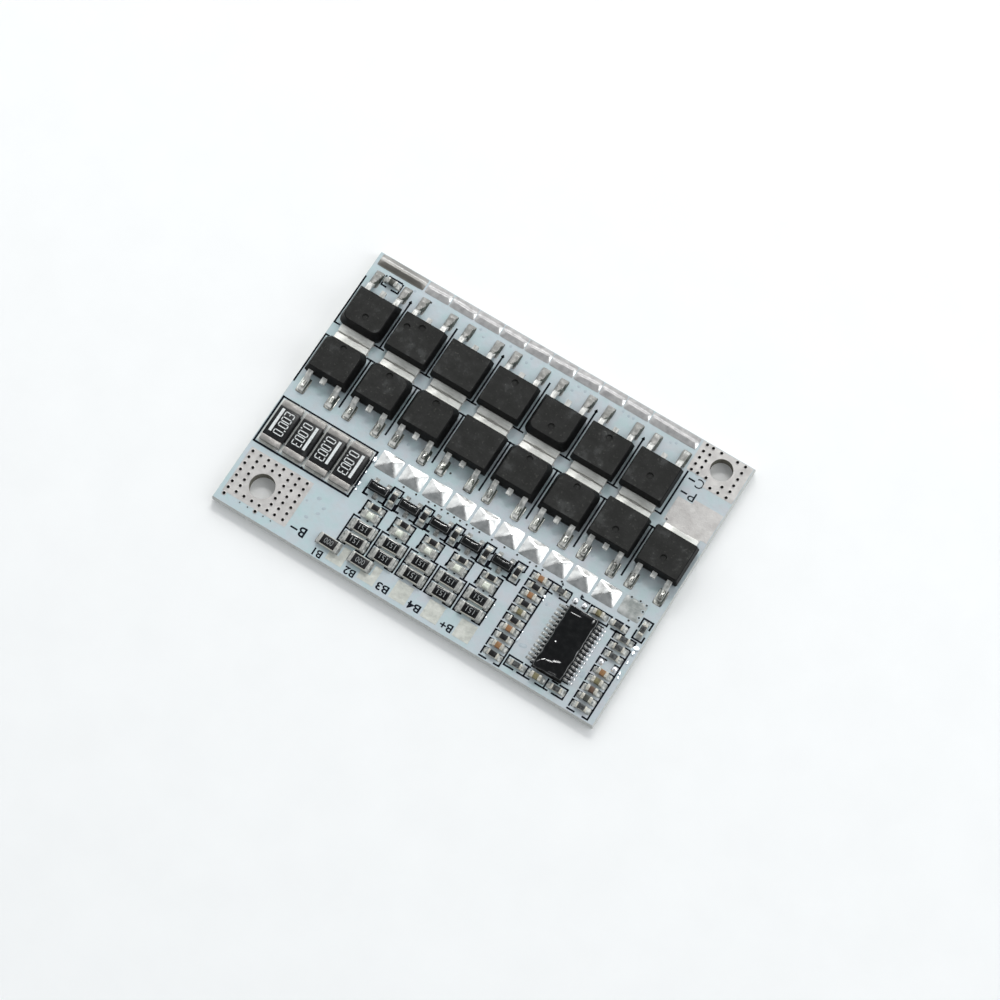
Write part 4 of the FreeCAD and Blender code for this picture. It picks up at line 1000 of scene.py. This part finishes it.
# Small chips: thick-film resistors, a black glazed face on white ceramic, and brown ceramic
# capacitors, all with tinned ends that sit in solder. The larger ones carry printed values.
small, capped, large = (1.6, 0.8, 0.32), (1.6, 0.8, 0.43), (3.2, 1.6, 0.5)
resistor_height, capacitor_height, large_height = 0.48, 0.8, 0.58
terminal_tin = finish("tinned_chip_ends", (0.4, 2, (0.3, (0.40, 0.38, 0.33)),
                                           (0.7, (0.66, 0.64, 0.57))),
                      (0.3, 2, (0.3, 0.24), (0.7, 0.42)), 0.25, [(0.25, 2, 0.015)])
chip_tin = finish("chip_solder", (0.5, 2, (0.34, (0.17, 0.18, 0.175)), (0.5, (0.38, 0.39, 0.375)),
                                  (0.68, (0.60, 0.60, 0.57))),
                  (0.4, 2, (0.3, 0.24), (0.7, 0.40)), 0.28, [(0.45, 2, 0.03)])
print_grey = finish("grey_value_print", (0.12, 2, (0.35, (0.16, 0.17, 0.17)),
                                         (0.6, (0.34, 0.35, 0.35))), 0.6)
hazy = finish("hazy_glaze", (0.3, 3, (0.38, (0.012, 0.013, 0.013)), (0.62, (0.085, 0.09, 0.09))),
              0.4)


def ceramic(name, colour, dark):
    """Fired ceramic of one batch, slightly uneven in tone."""
    return finish(name, (0.5, 3, (0.3, dark), (0.7, colour)), 0.36, bumps=[(0.15, 2, 0.008)])


batches = [ceramic("orange_brown_ceramic", (0.36, 0.15, 0.07), (0.19, 0.13, 0.05)),
           ceramic("brown_ceramic", (0.13, 0.075, 0.045), (0.08, 0.05, 0.035)),
           ceramic("olive_ceramic", (0.24, 0.21, 0.11), (0.10, 0.09, 0.045)),
           ceramic("dark_olive_ceramic", (0.06, 0.062, 0.05), (0.035, 0.036, 0.03))]
alumina = ceramic("white_alumina", (0.58, 0.56, 0.50), (0.44, 0.43, 0.38))

first_channel, channel_pitch, channel_y = -11.42, 4.92, -8.5
first_diode, diode_pitch, row_pitch = -10.35, 4.6, 1.35
resistors = [(first_channel + channel_pitch * step + 2.33, channel_y, 90) for step in range(5)]
resistors += [(first_diode + diode_pitch * step, -10.95, 0) for step in range(5)]
resistors += [(13.8, -7.6 - row_pitch * step, 0) for step in range(1, 10, 2)]
resistors += [(27.5, -8.9 - row_pitch * step, 0) for step in (0, 1, 2, 8)]
resistors += [(16.9, -7.6, 0), (25.85, -7.6, 0), (17.2, -19.35, 0), (23.4, -19.35, 0),
              (28.9, -6.4, 90)]
capacitors = [(13.8, -7.6 - row_pitch * step, batch)
              for step, batch in ((0, 0), (2, 0), (4, 2), (6, 0), (8, 0))]
capacitors += [(27.5, -8.9 - row_pitch * step, batch)
               for step, batch in ((4, 0), (5, 2), (6, 1), (7, 3))]
capacitors += [(22.8, -7.6, 2), (20.25, -19.35, 2), (-26.15, 17.75, 3)]
bleeders = [(-10.2 + 4.58 * step, y) for step in range(5) for y in (-14.3, -16.35)]
links = [(-13.05, -18.35), (-8.03, -18.35)]

rng = random.Random(5)
chip_ends, large_ends, chip_solder, values = [], [], [], []


def add_chip(x, y, turn, size, height, pad_length, pad_span, group, batch=None):
    """One chip: its middle goes to a group, its ends and its solder to the common lists."""
    (length, width, end), (shapes, skins) = size, group
    skew = turn + rng.uniform(-1.6, 1.6)
    middle = soft_block(length - 2 * end + 0.02, width - 0.03, height - 0.02, 0.04, 0.04)
    shapes.append(placed(middle, x, y, seat, skew))
    skins += [0 if batch is None else batch] * len(middle[1])
    if batch is None:
        face_width = width * (0.86 if width > 1 else 0.96)
        face = soft_block(length - 2 * end + 0.10, face_width, 0.06, 0.025, 0.06)
        shapes.append(placed(face, x, y, seat + height - 0.055, skew))
        skins += [2 if x > 16 else 1] * len(face[1])
    end_block = soft_block(end, width, height, 0.07, 0.06)
    spin = Matrix.Rotation(math.radians(skew), 2)
    for side in (-1, 1):
        out = spin @ Vector((side * (length - end) / 2, 0))
        foot = spin @ Vector((side * (pad_span - pad_length) / 2, 0))
        (large_ends if width > 1 or y > 0 else chip_ends).append(
            placed(end_block, x + out.x, y + out.y, seat, skew))
        fillet = end_rise(rng, (pad_span - length) / 4, width, height * 0.7, 0.12)
        chip_solder.append(solder_patch(pad_length, width + 0.14, fillet, x + foot.x, y + foot.y,
                                        skew + (0 if side > 0 else 180), (9, 8)))


small_group, capacitor_group, large_group = ([], []), ([], []), ([], [])
for x, y, turn in resistors:
    add_chip(x, y, turn, small, resistor_height, 0.85, 2.9, small_group)
for x, y, batch in capacitors:
    add_chip(x, y, 0, capped, capacitor_height, 0.85, 2.9, capacitor_group, batch)
for places, text, half_text, pads in ((bleeders, "151", 0.58, (1.05, 4.2)),
                                      (links, "000", 0.66, (0.8, 3.7))):
    for x, y in places:
        add_chip(x, y, 0, large, large_height, *pads, large_group)
        values.append(letters(text, x - half_text, y - 0.36, x + half_text, y + 0.40,
                              seat + large_height + 0.025, weight=-0.006))
for name, (shapes, skins), materials, slot, solid in (
        ("small_resistor_bodies", small_group, [alumina, glaze, hazy], "resistor_glaze",
         "small_resistors"),
        ("large_resistor_bodies", large_group, [alumina, glaze], "resistor_glaze",
         "bleed_resistors"),
        ("capacitor_bodies", capacitor_group, batches, "capacitor_ceramic",
         "ceramic_capacitors")):
    piece(name, joined(*shapes), materials, [solid], marks=skins)
piece("resistor_values", joined(*values), print_grey)

# Small moulded packages: five three-legged transistors and the monitor chip with 28 legs,
# glossy black epoxy under clear varnish, on bent tinned legs.
package_height, side_wall_top = 1.1, 0.85
monitor_x, monitor_y, monitor_pitch = 21.25, -13.4, 0.65
gloss = finish("varnished_epoxy", None, (0.9, 3, (0.3, 0.10), (0.7, 0.26)), 0.0, [(1.4, 2, 0.06)],
               Base_Color=(0.004, 0.0045, 0.005, 1), Coat_Weight=1.0, Coat_Roughness=0.04,
               Coat_IOR=1.8)
finger_tin = finish("smooth_solder", (0.6, 2, (0.3, (0.66, 0.66, 0.68)), (0.6, (0.86, 0.86, 0.88))),
                    (0.4, 2, (0.3, 0.18), (0.7, 0.32)), 0.9)
leg_tin = finish("grey_leg_tin", (0.4, 2, (0.3, (0.26, 0.26, 0.25)), (0.7, (0.48, 0.48, 0.46))),
                 (0.3, 2, (0.3, 0.26), (0.7, 0.42)), 0.35)


def package(length, width, base, waist, height, draft, edge):
    """Moulded body about its middle with drafted halves and rounded upper edges."""
    reach = (height - edge - waist) * math.tan(math.radians(draft))
    return stepped_block(length, width, 0.09, [
        (0.05, base), (0.0, waist), (reach, height - edge),
        (reach + edge * 0.12, height - edge * 0.5), (reach + edge * 0.45, height - edge * 0.13),
        (reach + edge, height)])


def low_faces(shape, level):
    """Material numbers of a shape: 1 on the faces that reach below a level."""
    points, faces = shape
    return [1 if min(points[i][2] for i in face) < level else 0 for face in faces]


def bent_leg(root, reach, thickness, top, width, edge):
    """Small leg that leaves a body at height top, steps down and lies flat at its end."""
    foot, knee = root + (reach - root) * 0.5, root + (reach - root) * 0.28
    profile = [(root - 0.1, top - thickness), (knee, top - thickness), (foot, 0.0), (reach, 0.0),
               (reach, thickness), (foot + 0.05, thickness), (knee + 0.08, top - 0.03),
               (knee, top), (root - 0.1, top)]
    return bevelled_strip(profile, width, edge)


def dome(half_x, half_y, height, fullness, least=0.02):
    """Surface of an oval drop; a small fullness makes its flanks steep."""
    return lambda x, y: least + height * max(
        0.0, 1 - (x / half_x) ** 2 - (y / half_y) ** 2) ** fullness


def finger_rise(height, ball, ball_x, ball_size):
    """Rounded solder finger over a narrow foot, with a frozen ball on it."""
    top, reach = height * rng.uniform(0.9, 1.1), rng.uniform(0.50, 0.58)

    def rise(x, y):
        across = max(0.0, 1 - (y / 0.225) ** 2) ** 0.6
        along = between(0.0, (reach - x) / 0.4, 1.0) ** 0.6
        return 0.012 + across * (along * top + ball * math.exp(-((x - ball_x) / ball_size) ** 2))
    return rise


rng = random.Random(8)
body = package(2.9, 1.3, 0.1, 0.55, package_height, 10, 0.14)
leg = bent_leg(0.65, 1.25, 0.12, 0.5, 0.46, 0.02)
legs = []
for channel in range(5):
    x = first_channel + channel_pitch * channel
    piece(f"channel_transistor_{channel + 1}", placed(body, x, channel_y, seat),
          [gloss, dark_epoxy_and_shade], [f"balance_transistor_{channel + 1}"],
          marks=low_faces(body, side_wall_top))
    for offset, side in ((-0.95, 1), (0.95, 1), (0.0, -1)):
        legs.append(placed(leg, x + offset, channel_y, seat, 0 if side > 0 else 180))
        chip_solder.append(solder_patch(0.80, 0.70, end_rise(rng, 0.24, 0.5, 0.14, 0.12),
                                        x + offset, channel_y + side * 1.06, 90 * side, (8, 8),
                                        0.04))
piece("channel_transistor_legs", joined(*legs), leg_tin,
      ["balance_transistor_leads"])

body = package(4.4, 9.7, 0.1, 0.6, package_height, 10, 0.12)
leg = bent_leg(2.2, 3.2, 0.14, 0.55, 0.28, 0.05)
piece("monitor_chip_body", placed(body, monitor_x, monitor_y, seat), [gloss, dark_epoxy_and_shade],
      ["monitor_chip"], marks=low_faces(body, side_wall_top))
legs, balled_fingers, flat_fingers = [], [], []
for step in range(14):
    y = monitor_y + (step - 6.5) * monitor_pitch
    for side, fingers, shape in ((1, balled_fingers, (0.20, 0.30, 0.12, 0.24)),
                                 (-1, flat_fingers, (0.09, 0.0, 0.0, 0.2))):
        legs.append(placed(leg, monitor_x, y, seat, -90 * side))
        fingers.append(solder_patch(1.35, 0.42, finger_rise(*shape), monitor_x + side * 2.95, y,
                                    0 if side > 0 else 180, (18, 10)))
    balled_fingers.append(solder_patch(0.42, 0.40, dome(0.2, 0.19, 0.62, 0.5), monitor_x - 2.52, y,
                                       grid=(12, 12)))
piece("monitor_chip_legs", joined(*legs), leg_tin, ["monitor_chip_leads"])
piece("monitor_leg_solder", joined(*balled_fingers), finger_tin, soft_angle=80)
piece("monitor_pad_solder", joined(*flat_fingers), chip_tin, soft_angle=80)

# Status diodes: pale substrate with soldered ends and a clear resin lens, one per channel.
# Each has a small printed dot beside it.
diode_y = -12.25
resin = finish("clear_resin", (0.5, 2, (0.3, (0.60, 0.64, 0.54)), (0.7, (0.82, 0.83, 0.74))),
               0.12, bumps=[(0.5, 2, 0.03)], Coat_Weight=0.6)
substrate = finish("diode_substrate", (0.4, 3, (0.3, (0.30, 0.31, 0.29)),
                                       (0.7, (0.50, 0.50, 0.47))), 0.4)
lens_shape = package(1.0, 0.9, 0.3, 0.4, 0.8, 14, 0.26)
base_shape = soft_block(1.9, 1.15, 0.36, 0.04, 0.05)
end_shape = soft_block(0.35, 1.2, 0.37, 0.05, 0.05)
dot_shape = soft_block(0.3, 0.22, 0.05, 0.02, 0.08)
lenses, bases, diode_dots = [], [], []
for step in range(5):
    x = first_diode + diode_pitch * step
    lenses.append(placed(lens_shape, x, diode_y, seat))
    bases.append(placed(base_shape, x, diode_y, seat))
    diode_dots.append(placed(dot_shape, x, -12.98, board_top))
    for side in (-1, 1):
        large_ends.append(placed(end_shape, x + side * 0.83, diode_y, seat))
        chip_solder.append(solder_patch(0.85, 1.25, end_rise(rng, 0.22, 1.1, 0.26, 0.12),
                                        x + side * 1.03, diode_y, 0 if side > 0 else 180, (9, 8)))
diode_shape, diode_skins = numbered(joined(*lenses), joined(*bases))
piece("status_diodes", diode_shape, [resin, substrate], ["status_leds"],
      marks=diode_skins)
piece("diode_marks", joined(*diode_dots), ink)

# Chip ends and solder: tinned caps, and the solder that wets every pad, also the spare ones.
# The larger chips and the diodes have greyer ends than the small ones.
spare_pads = [(19.2, -7.6), (20.6, -7.6), (26.475, -12.95), (28.525, -12.95)]
grey_ends = finish("grey_chip_ends", (0.5, 2, (0.3, (0.30, 0.30, 0.285)),
                                      (0.7, (0.56, 0.56, 0.53))), 0.32, 0.3)
domes = [solder_patch(0.85, 0.95, dome(0.45, 0.5, 0.32, 0.7), x, y, grid=(10, 10))
         for x, y in spare_pads]
piece("spare_pad_solder", joined(*domes), finger_tin, soft_angle=80)
piece("chip_end_caps", joined(*chip_ends), terminal_tin, ["chip_terminals"])
piece("large_end_caps", joined(*large_ends), grey_ends)
piece("chip_solder", joined(*chip_solder), chip_tin, ["component_pads"], soft_angle=60)

# Varnish of the monitor chip: clear coat that froze in a shiny uneven skin over the package
# and sagged past its low end and between the heels of the legs.
skin_low, skin_high, skin_half, skin_border = -18.55, -8.45, 2.28, 0.2
skin_columns, skin_rows, mesh_half = 80, 150, 2.3
package_top = seat + package_height
coat_level = package_top + 0.03
unmoved = Vector((0, 0, 0))
streaks = [((20.9, -8.95), (22.4, -8.8), 0.12), ((21.5, -18.15), (22.4, -18.05), 0.13)]
lumps = [(20.4, -9.55, 0.85, 0.075, 4), (22.9, -9.15, 0.15, 0.34, 0), (20.05, -14.1, 0.12, 0.12, 0),
         (21.65, -16.4, 0.62, 0.17, 20), (20.8, -16.8, 0.6, 0.10, 12),
         (19.95, -17.0, 0.35, 0.06, 40), (19.5, -17.5, 0.35, 0.06, 60)]


def ridge(x, y, start, end, width):
    """Height that one low frozen run of varnish adds at a point."""
    a, along = Vector(start), Vector(end) - Vector(start)
    share = between(0.0, (Vector((x, y)) - a).dot(along) / along.length_squared, 1.0)
    gap = (Vector((x, y)) - a - along * share).length
    return 0.285 * width * math.exp(-(gap / width) ** 2)


def facet_rise(half_x, half_y, slope=0.24):
    """Surface of an oval lump of varnish whose flat top leans toward its far edge."""
    flank = dome(half_x, half_y, 1.2 * min(half_x, half_y), 0.8, 0.0)
    return lambda x, y: 0.004 + min(slope * (half_y * 1.02 - y), flank(x, y))


def skin_level(x, y):
    """Level of the varnish surface over the package and its hanging border."""
    wave = 0.16 * waves(x, y, 0.9, unmoved, 3)
    edge = min(skin_half + wave - abs(x - monitor_x), skin_high - y, y - skin_low + wave)
    flat = coat_level + sum(ridge(x, y, *streak) for streak in streaks)
    heel = 0.5 + 0.5 * math.cos((y - monitor_y) / monitor_pitch * 2 * math.pi)
    drop = 1 - between(0.0, edge / skin_border, 1.0)
    return flat + (board_top + 0.35 + 0.22 * heel - flat) * drop ** 2.2


points = []
for row in range(skin_rows + 1):
    y = skin_low - 0.02 + (skin_high - skin_low + 0.04) * row / skin_rows
    for column in range(skin_columns + 1):
        x = monitor_x - mesh_half + 2 * mesh_half * column / skin_columns
        points.append((x, y, skin_level(x, y)))
skin = (points, grid_faces(skin_columns, skin_rows))
piece("monitor_chip_varnish", skin, [gloss, dark_epoxy_and_shade], soft_angle=80,
      marks=low_faces(skin, package_top - 0.12))
# Dark bars between the heels of the legs on both sides of the monitor chip: painted shade in the
# gaps.
runs = []
for step in range(15):
    y = monitor_y + (step - 7) * monitor_pitch
    runs += [bar(23.35, y, 24.3, y, 0.15, rib_level, rib_depth),
             bar(18.55, y, 19.15, y, 0.17, rib_level, rib_depth)]
piece("painted_shade_between_legs", joined(*runs), dark_epoxy_and_shade)
drops = [solder_patch(2 * half_x, 2 * half_y, facet_rise(half_x, half_y, 0.29), x, y, turn,
                      (18, 14), 0.3, coat_level) for x, y, half_x, half_y, turn in lumps]
piece("monitor_varnish_lumps", joined(*drops), gloss, soft_angle=80)

# Varnish on the channel transistors and the bleeder resistors: the same coat, drawn into a
# bright crest along the far edge of each body, and a thin skin with one crest on each chip.
crests = [((-0.95, 0.16), (0.1, 0.08), 0.09), ((0.1, 0.08), (0.85, 0.22), 0.09),
          ((1.12, 0.14), (1.16, 0.40), 0.16)]
rng = random.Random(41)
coats, chip_coats = [], []
for channel in range(5):
    def crest_rise(x, y):
        wave = 0.04 * waves(x, y, 1.1, unmoved, channel * 3)
        lift = 0.02 + sum(ridge(x, y - wave, *crest) for crest in crests)
        return 0.035 + lift * between(0.0, min(1.40 - abs(x), 0.62 - abs(y)) / 0.08, 1.0)
    coats.append(solder_patch(2.72, 1.16, crest_rise, first_channel + channel_pitch * channel,
                              channel_y, 0, (68, 36), 0.04, seat + 1.05))
for x, y in bleeders:
    sag, at = rng.uniform(-0.10, 0.10), rng.uniform(0.44, 0.54)
    chip_coats.append(solder_patch(
        2.0, 1.34, lambda u, v: 0.006 + ridge(u, v + sag * u, (-0.8, at), (0.8, at), 0.14),
        x, y, 0, (40, 34), 0.06, seat + large_height))
piece("channel_varnish", joined(*coats), gloss, soft_angle=80)
piece("bleeder_varnish", joined(*chip_coats), gloss, soft_angle=80)

# Varnish drops: clear coat that ran to the edges of the printed frames and dried as shiny
# beads on the mask, with faint bumps over the covered vias, and solder beads at the shunts.
bead = finish("varnish_on_mask", (0.6, 3, (0.3, (0.42, 0.50, 0.55)), (0.7, (0.52, 0.58, 0.62))),
              0.05, bumps=[(0.8, 2, 0.03)], IOR=1.6, Coat_Weight=1.0, Coat_Roughness=0.02)
bead_places = [(29.5, -8.95, 0.46, 0.36, 20), (29.18, -9.25, 0.26, 0.48, -20),
               (29.45, -9.75, 0.24, 0.42, 12), (29.5, -11.3, 0.12, 0.3, 4),
               (29.42, -13.1, 0.14, 0.34, 15), (29.55, -13.7, 0.13, 0.32, 15),
               (15.42, -9.35, 0.15, 0.36, 28), (15.5, -9.85, 0.10, 0.2, 20),
               (15.5, -16.3, 0.16, 0.4, -5), (15.48, -15.0, 0.09, 0.16, 0),
               (10.35, -13.9, 0.10, 0.18, 0), (10.3, -15.9, 0.10, 0.2, 0),
               (-14.25, -5.1, 0.28, 0.5, 10), (-14.2, -9.1, 0.17, 0.4, 3),
               (-14.3, -7.2, 0.10, 0.22, 0), (-14.15, -10.0, 0.11, 0.22, 0)]
faint_places = [(16.5, -16.6, 0.6, 0.3, 15), (-17.6, -13.7, 0.34, 0.26, 20),
                (-16.3, -14.6, 0.3, 0.2, 40), (-17.7, -16.8, 0.3, 0.22, 0),
                (-16.6, -15.6, 0.3, 0.2, 30), (-18.9, -14.8, 0.2, 0.16, 0),
                (16.2, -10.1, 0.22, 0.22, 0), (25.3, -15.8, 0.3, 0.5, 0)]
covered_vias = [(-22.9, 18.5), (-12.2, 18.55), (-11.3, 17.8), (-7.4, 18.6), (-4.0, 18.6),
                (-4.3, 17.7), (3.6, 18.55), (4.7, 18.4), (3.1, 17.6), (10.6, 18.7), (11.6, 18.5),
                (12.3, 18.55), (18.4, 18.3), (19.1, 18.6), (17.8, -1.1), (25.0, -0.8), (-5.1, 0.1),
                (-11.6, -0.9), (10.4, -0.6)]
faint_places += [(x, y, 0.21, 0.21, 0) for x, y in covered_vias]
sparks = [solder_patch(2.2 * size, 2.2 * size, dome(size, size, 0.9 * size, 0.5),
                       first_shunt + shunt_pitch * shunt + offset, y, 0, (12, 12), 0.3)
          for shunt in range(4) for offset, y, size in ((1.36, -11.02, 0.17), (1.82, -9.8, 0.13))]
piece("shunt_solder_beads", joined(*sparks), finger_tin, soft_angle=80)
beads = [(place, facet_rise(*place[2:4])) for place in bead_places]
beads += [(place, dome(*place[2:4], 0.07 * min(place[2:4]), 1.5, 0.004)) for place in faint_places]
bead_shape = joined(*[solder_patch(2 * half_x, 2 * half_y, rise, x, y, turn, (16, 16), 0.3)
                      for (x, y, half_x, half_y, turn), rise in beads])
piece("varnish_beads", bead_shape, bead, soft_angle=80)

# Open vias: small holes that the mask left unfilled. Each shows as a flat disc painted near
# black, painted shade of the hole, with a soft lip of mask round it; half filled ones are smaller.
via_sides, lip_rings = 12, ((0.25, 0.0), (0.20, 0.014), (0.16, 0.008))
painted_via_shade = finish("via_hole_painted_shade", (0.2, 3, (0.3, 0.012), (0.7, (0.03, 0.03, 0.028))), 0.6)
open_vias = [(x, -6.3) for x in (-8.85, -6.85, -4.85, -3.85, -2.8, -1.8, -0.8, 0.15, 1.2, 2.2,
                                 3.2, 5.2, 7.2, 9.2, 11.2, 12.2, 13.2, 16.25)]
open_vias += [(26.6, -6.2), (-4.55, -1.3), (-20.1, 18.25), (17.0, -8.05), (25.3, -3.2),
              (26.6, -3.1), (27.6, -3.2), (27.6, -4.2), (27.6, -5.2)]
half_vias = [(x, -19.86) for x in (-26.4, -25.15, -22.65, -21.45)]
mouths, lips = [], []
for x, y in open_vias + half_vias:
    on_window = y > -5.4 and 24.5 < x < 27.8
    level = board_top + (0.14 if on_window else 0.006)
    mouth = circle(x, y, 0.10 if y < -19 else 0.17, via_sides)
    mouths.append((level_ring(mouth, level + 0.004), [tuple(range(via_sides))]))
    lips.append(turned_over(loft([level_ring(circle(x, y, radius, via_sides), level + rise)
                                  for radius, rise in lip_rings])))
piece("via_mouth_painted_shade", joined(*mouths), painted_via_shade)
piece("via_lips", joined(*lips), mask)
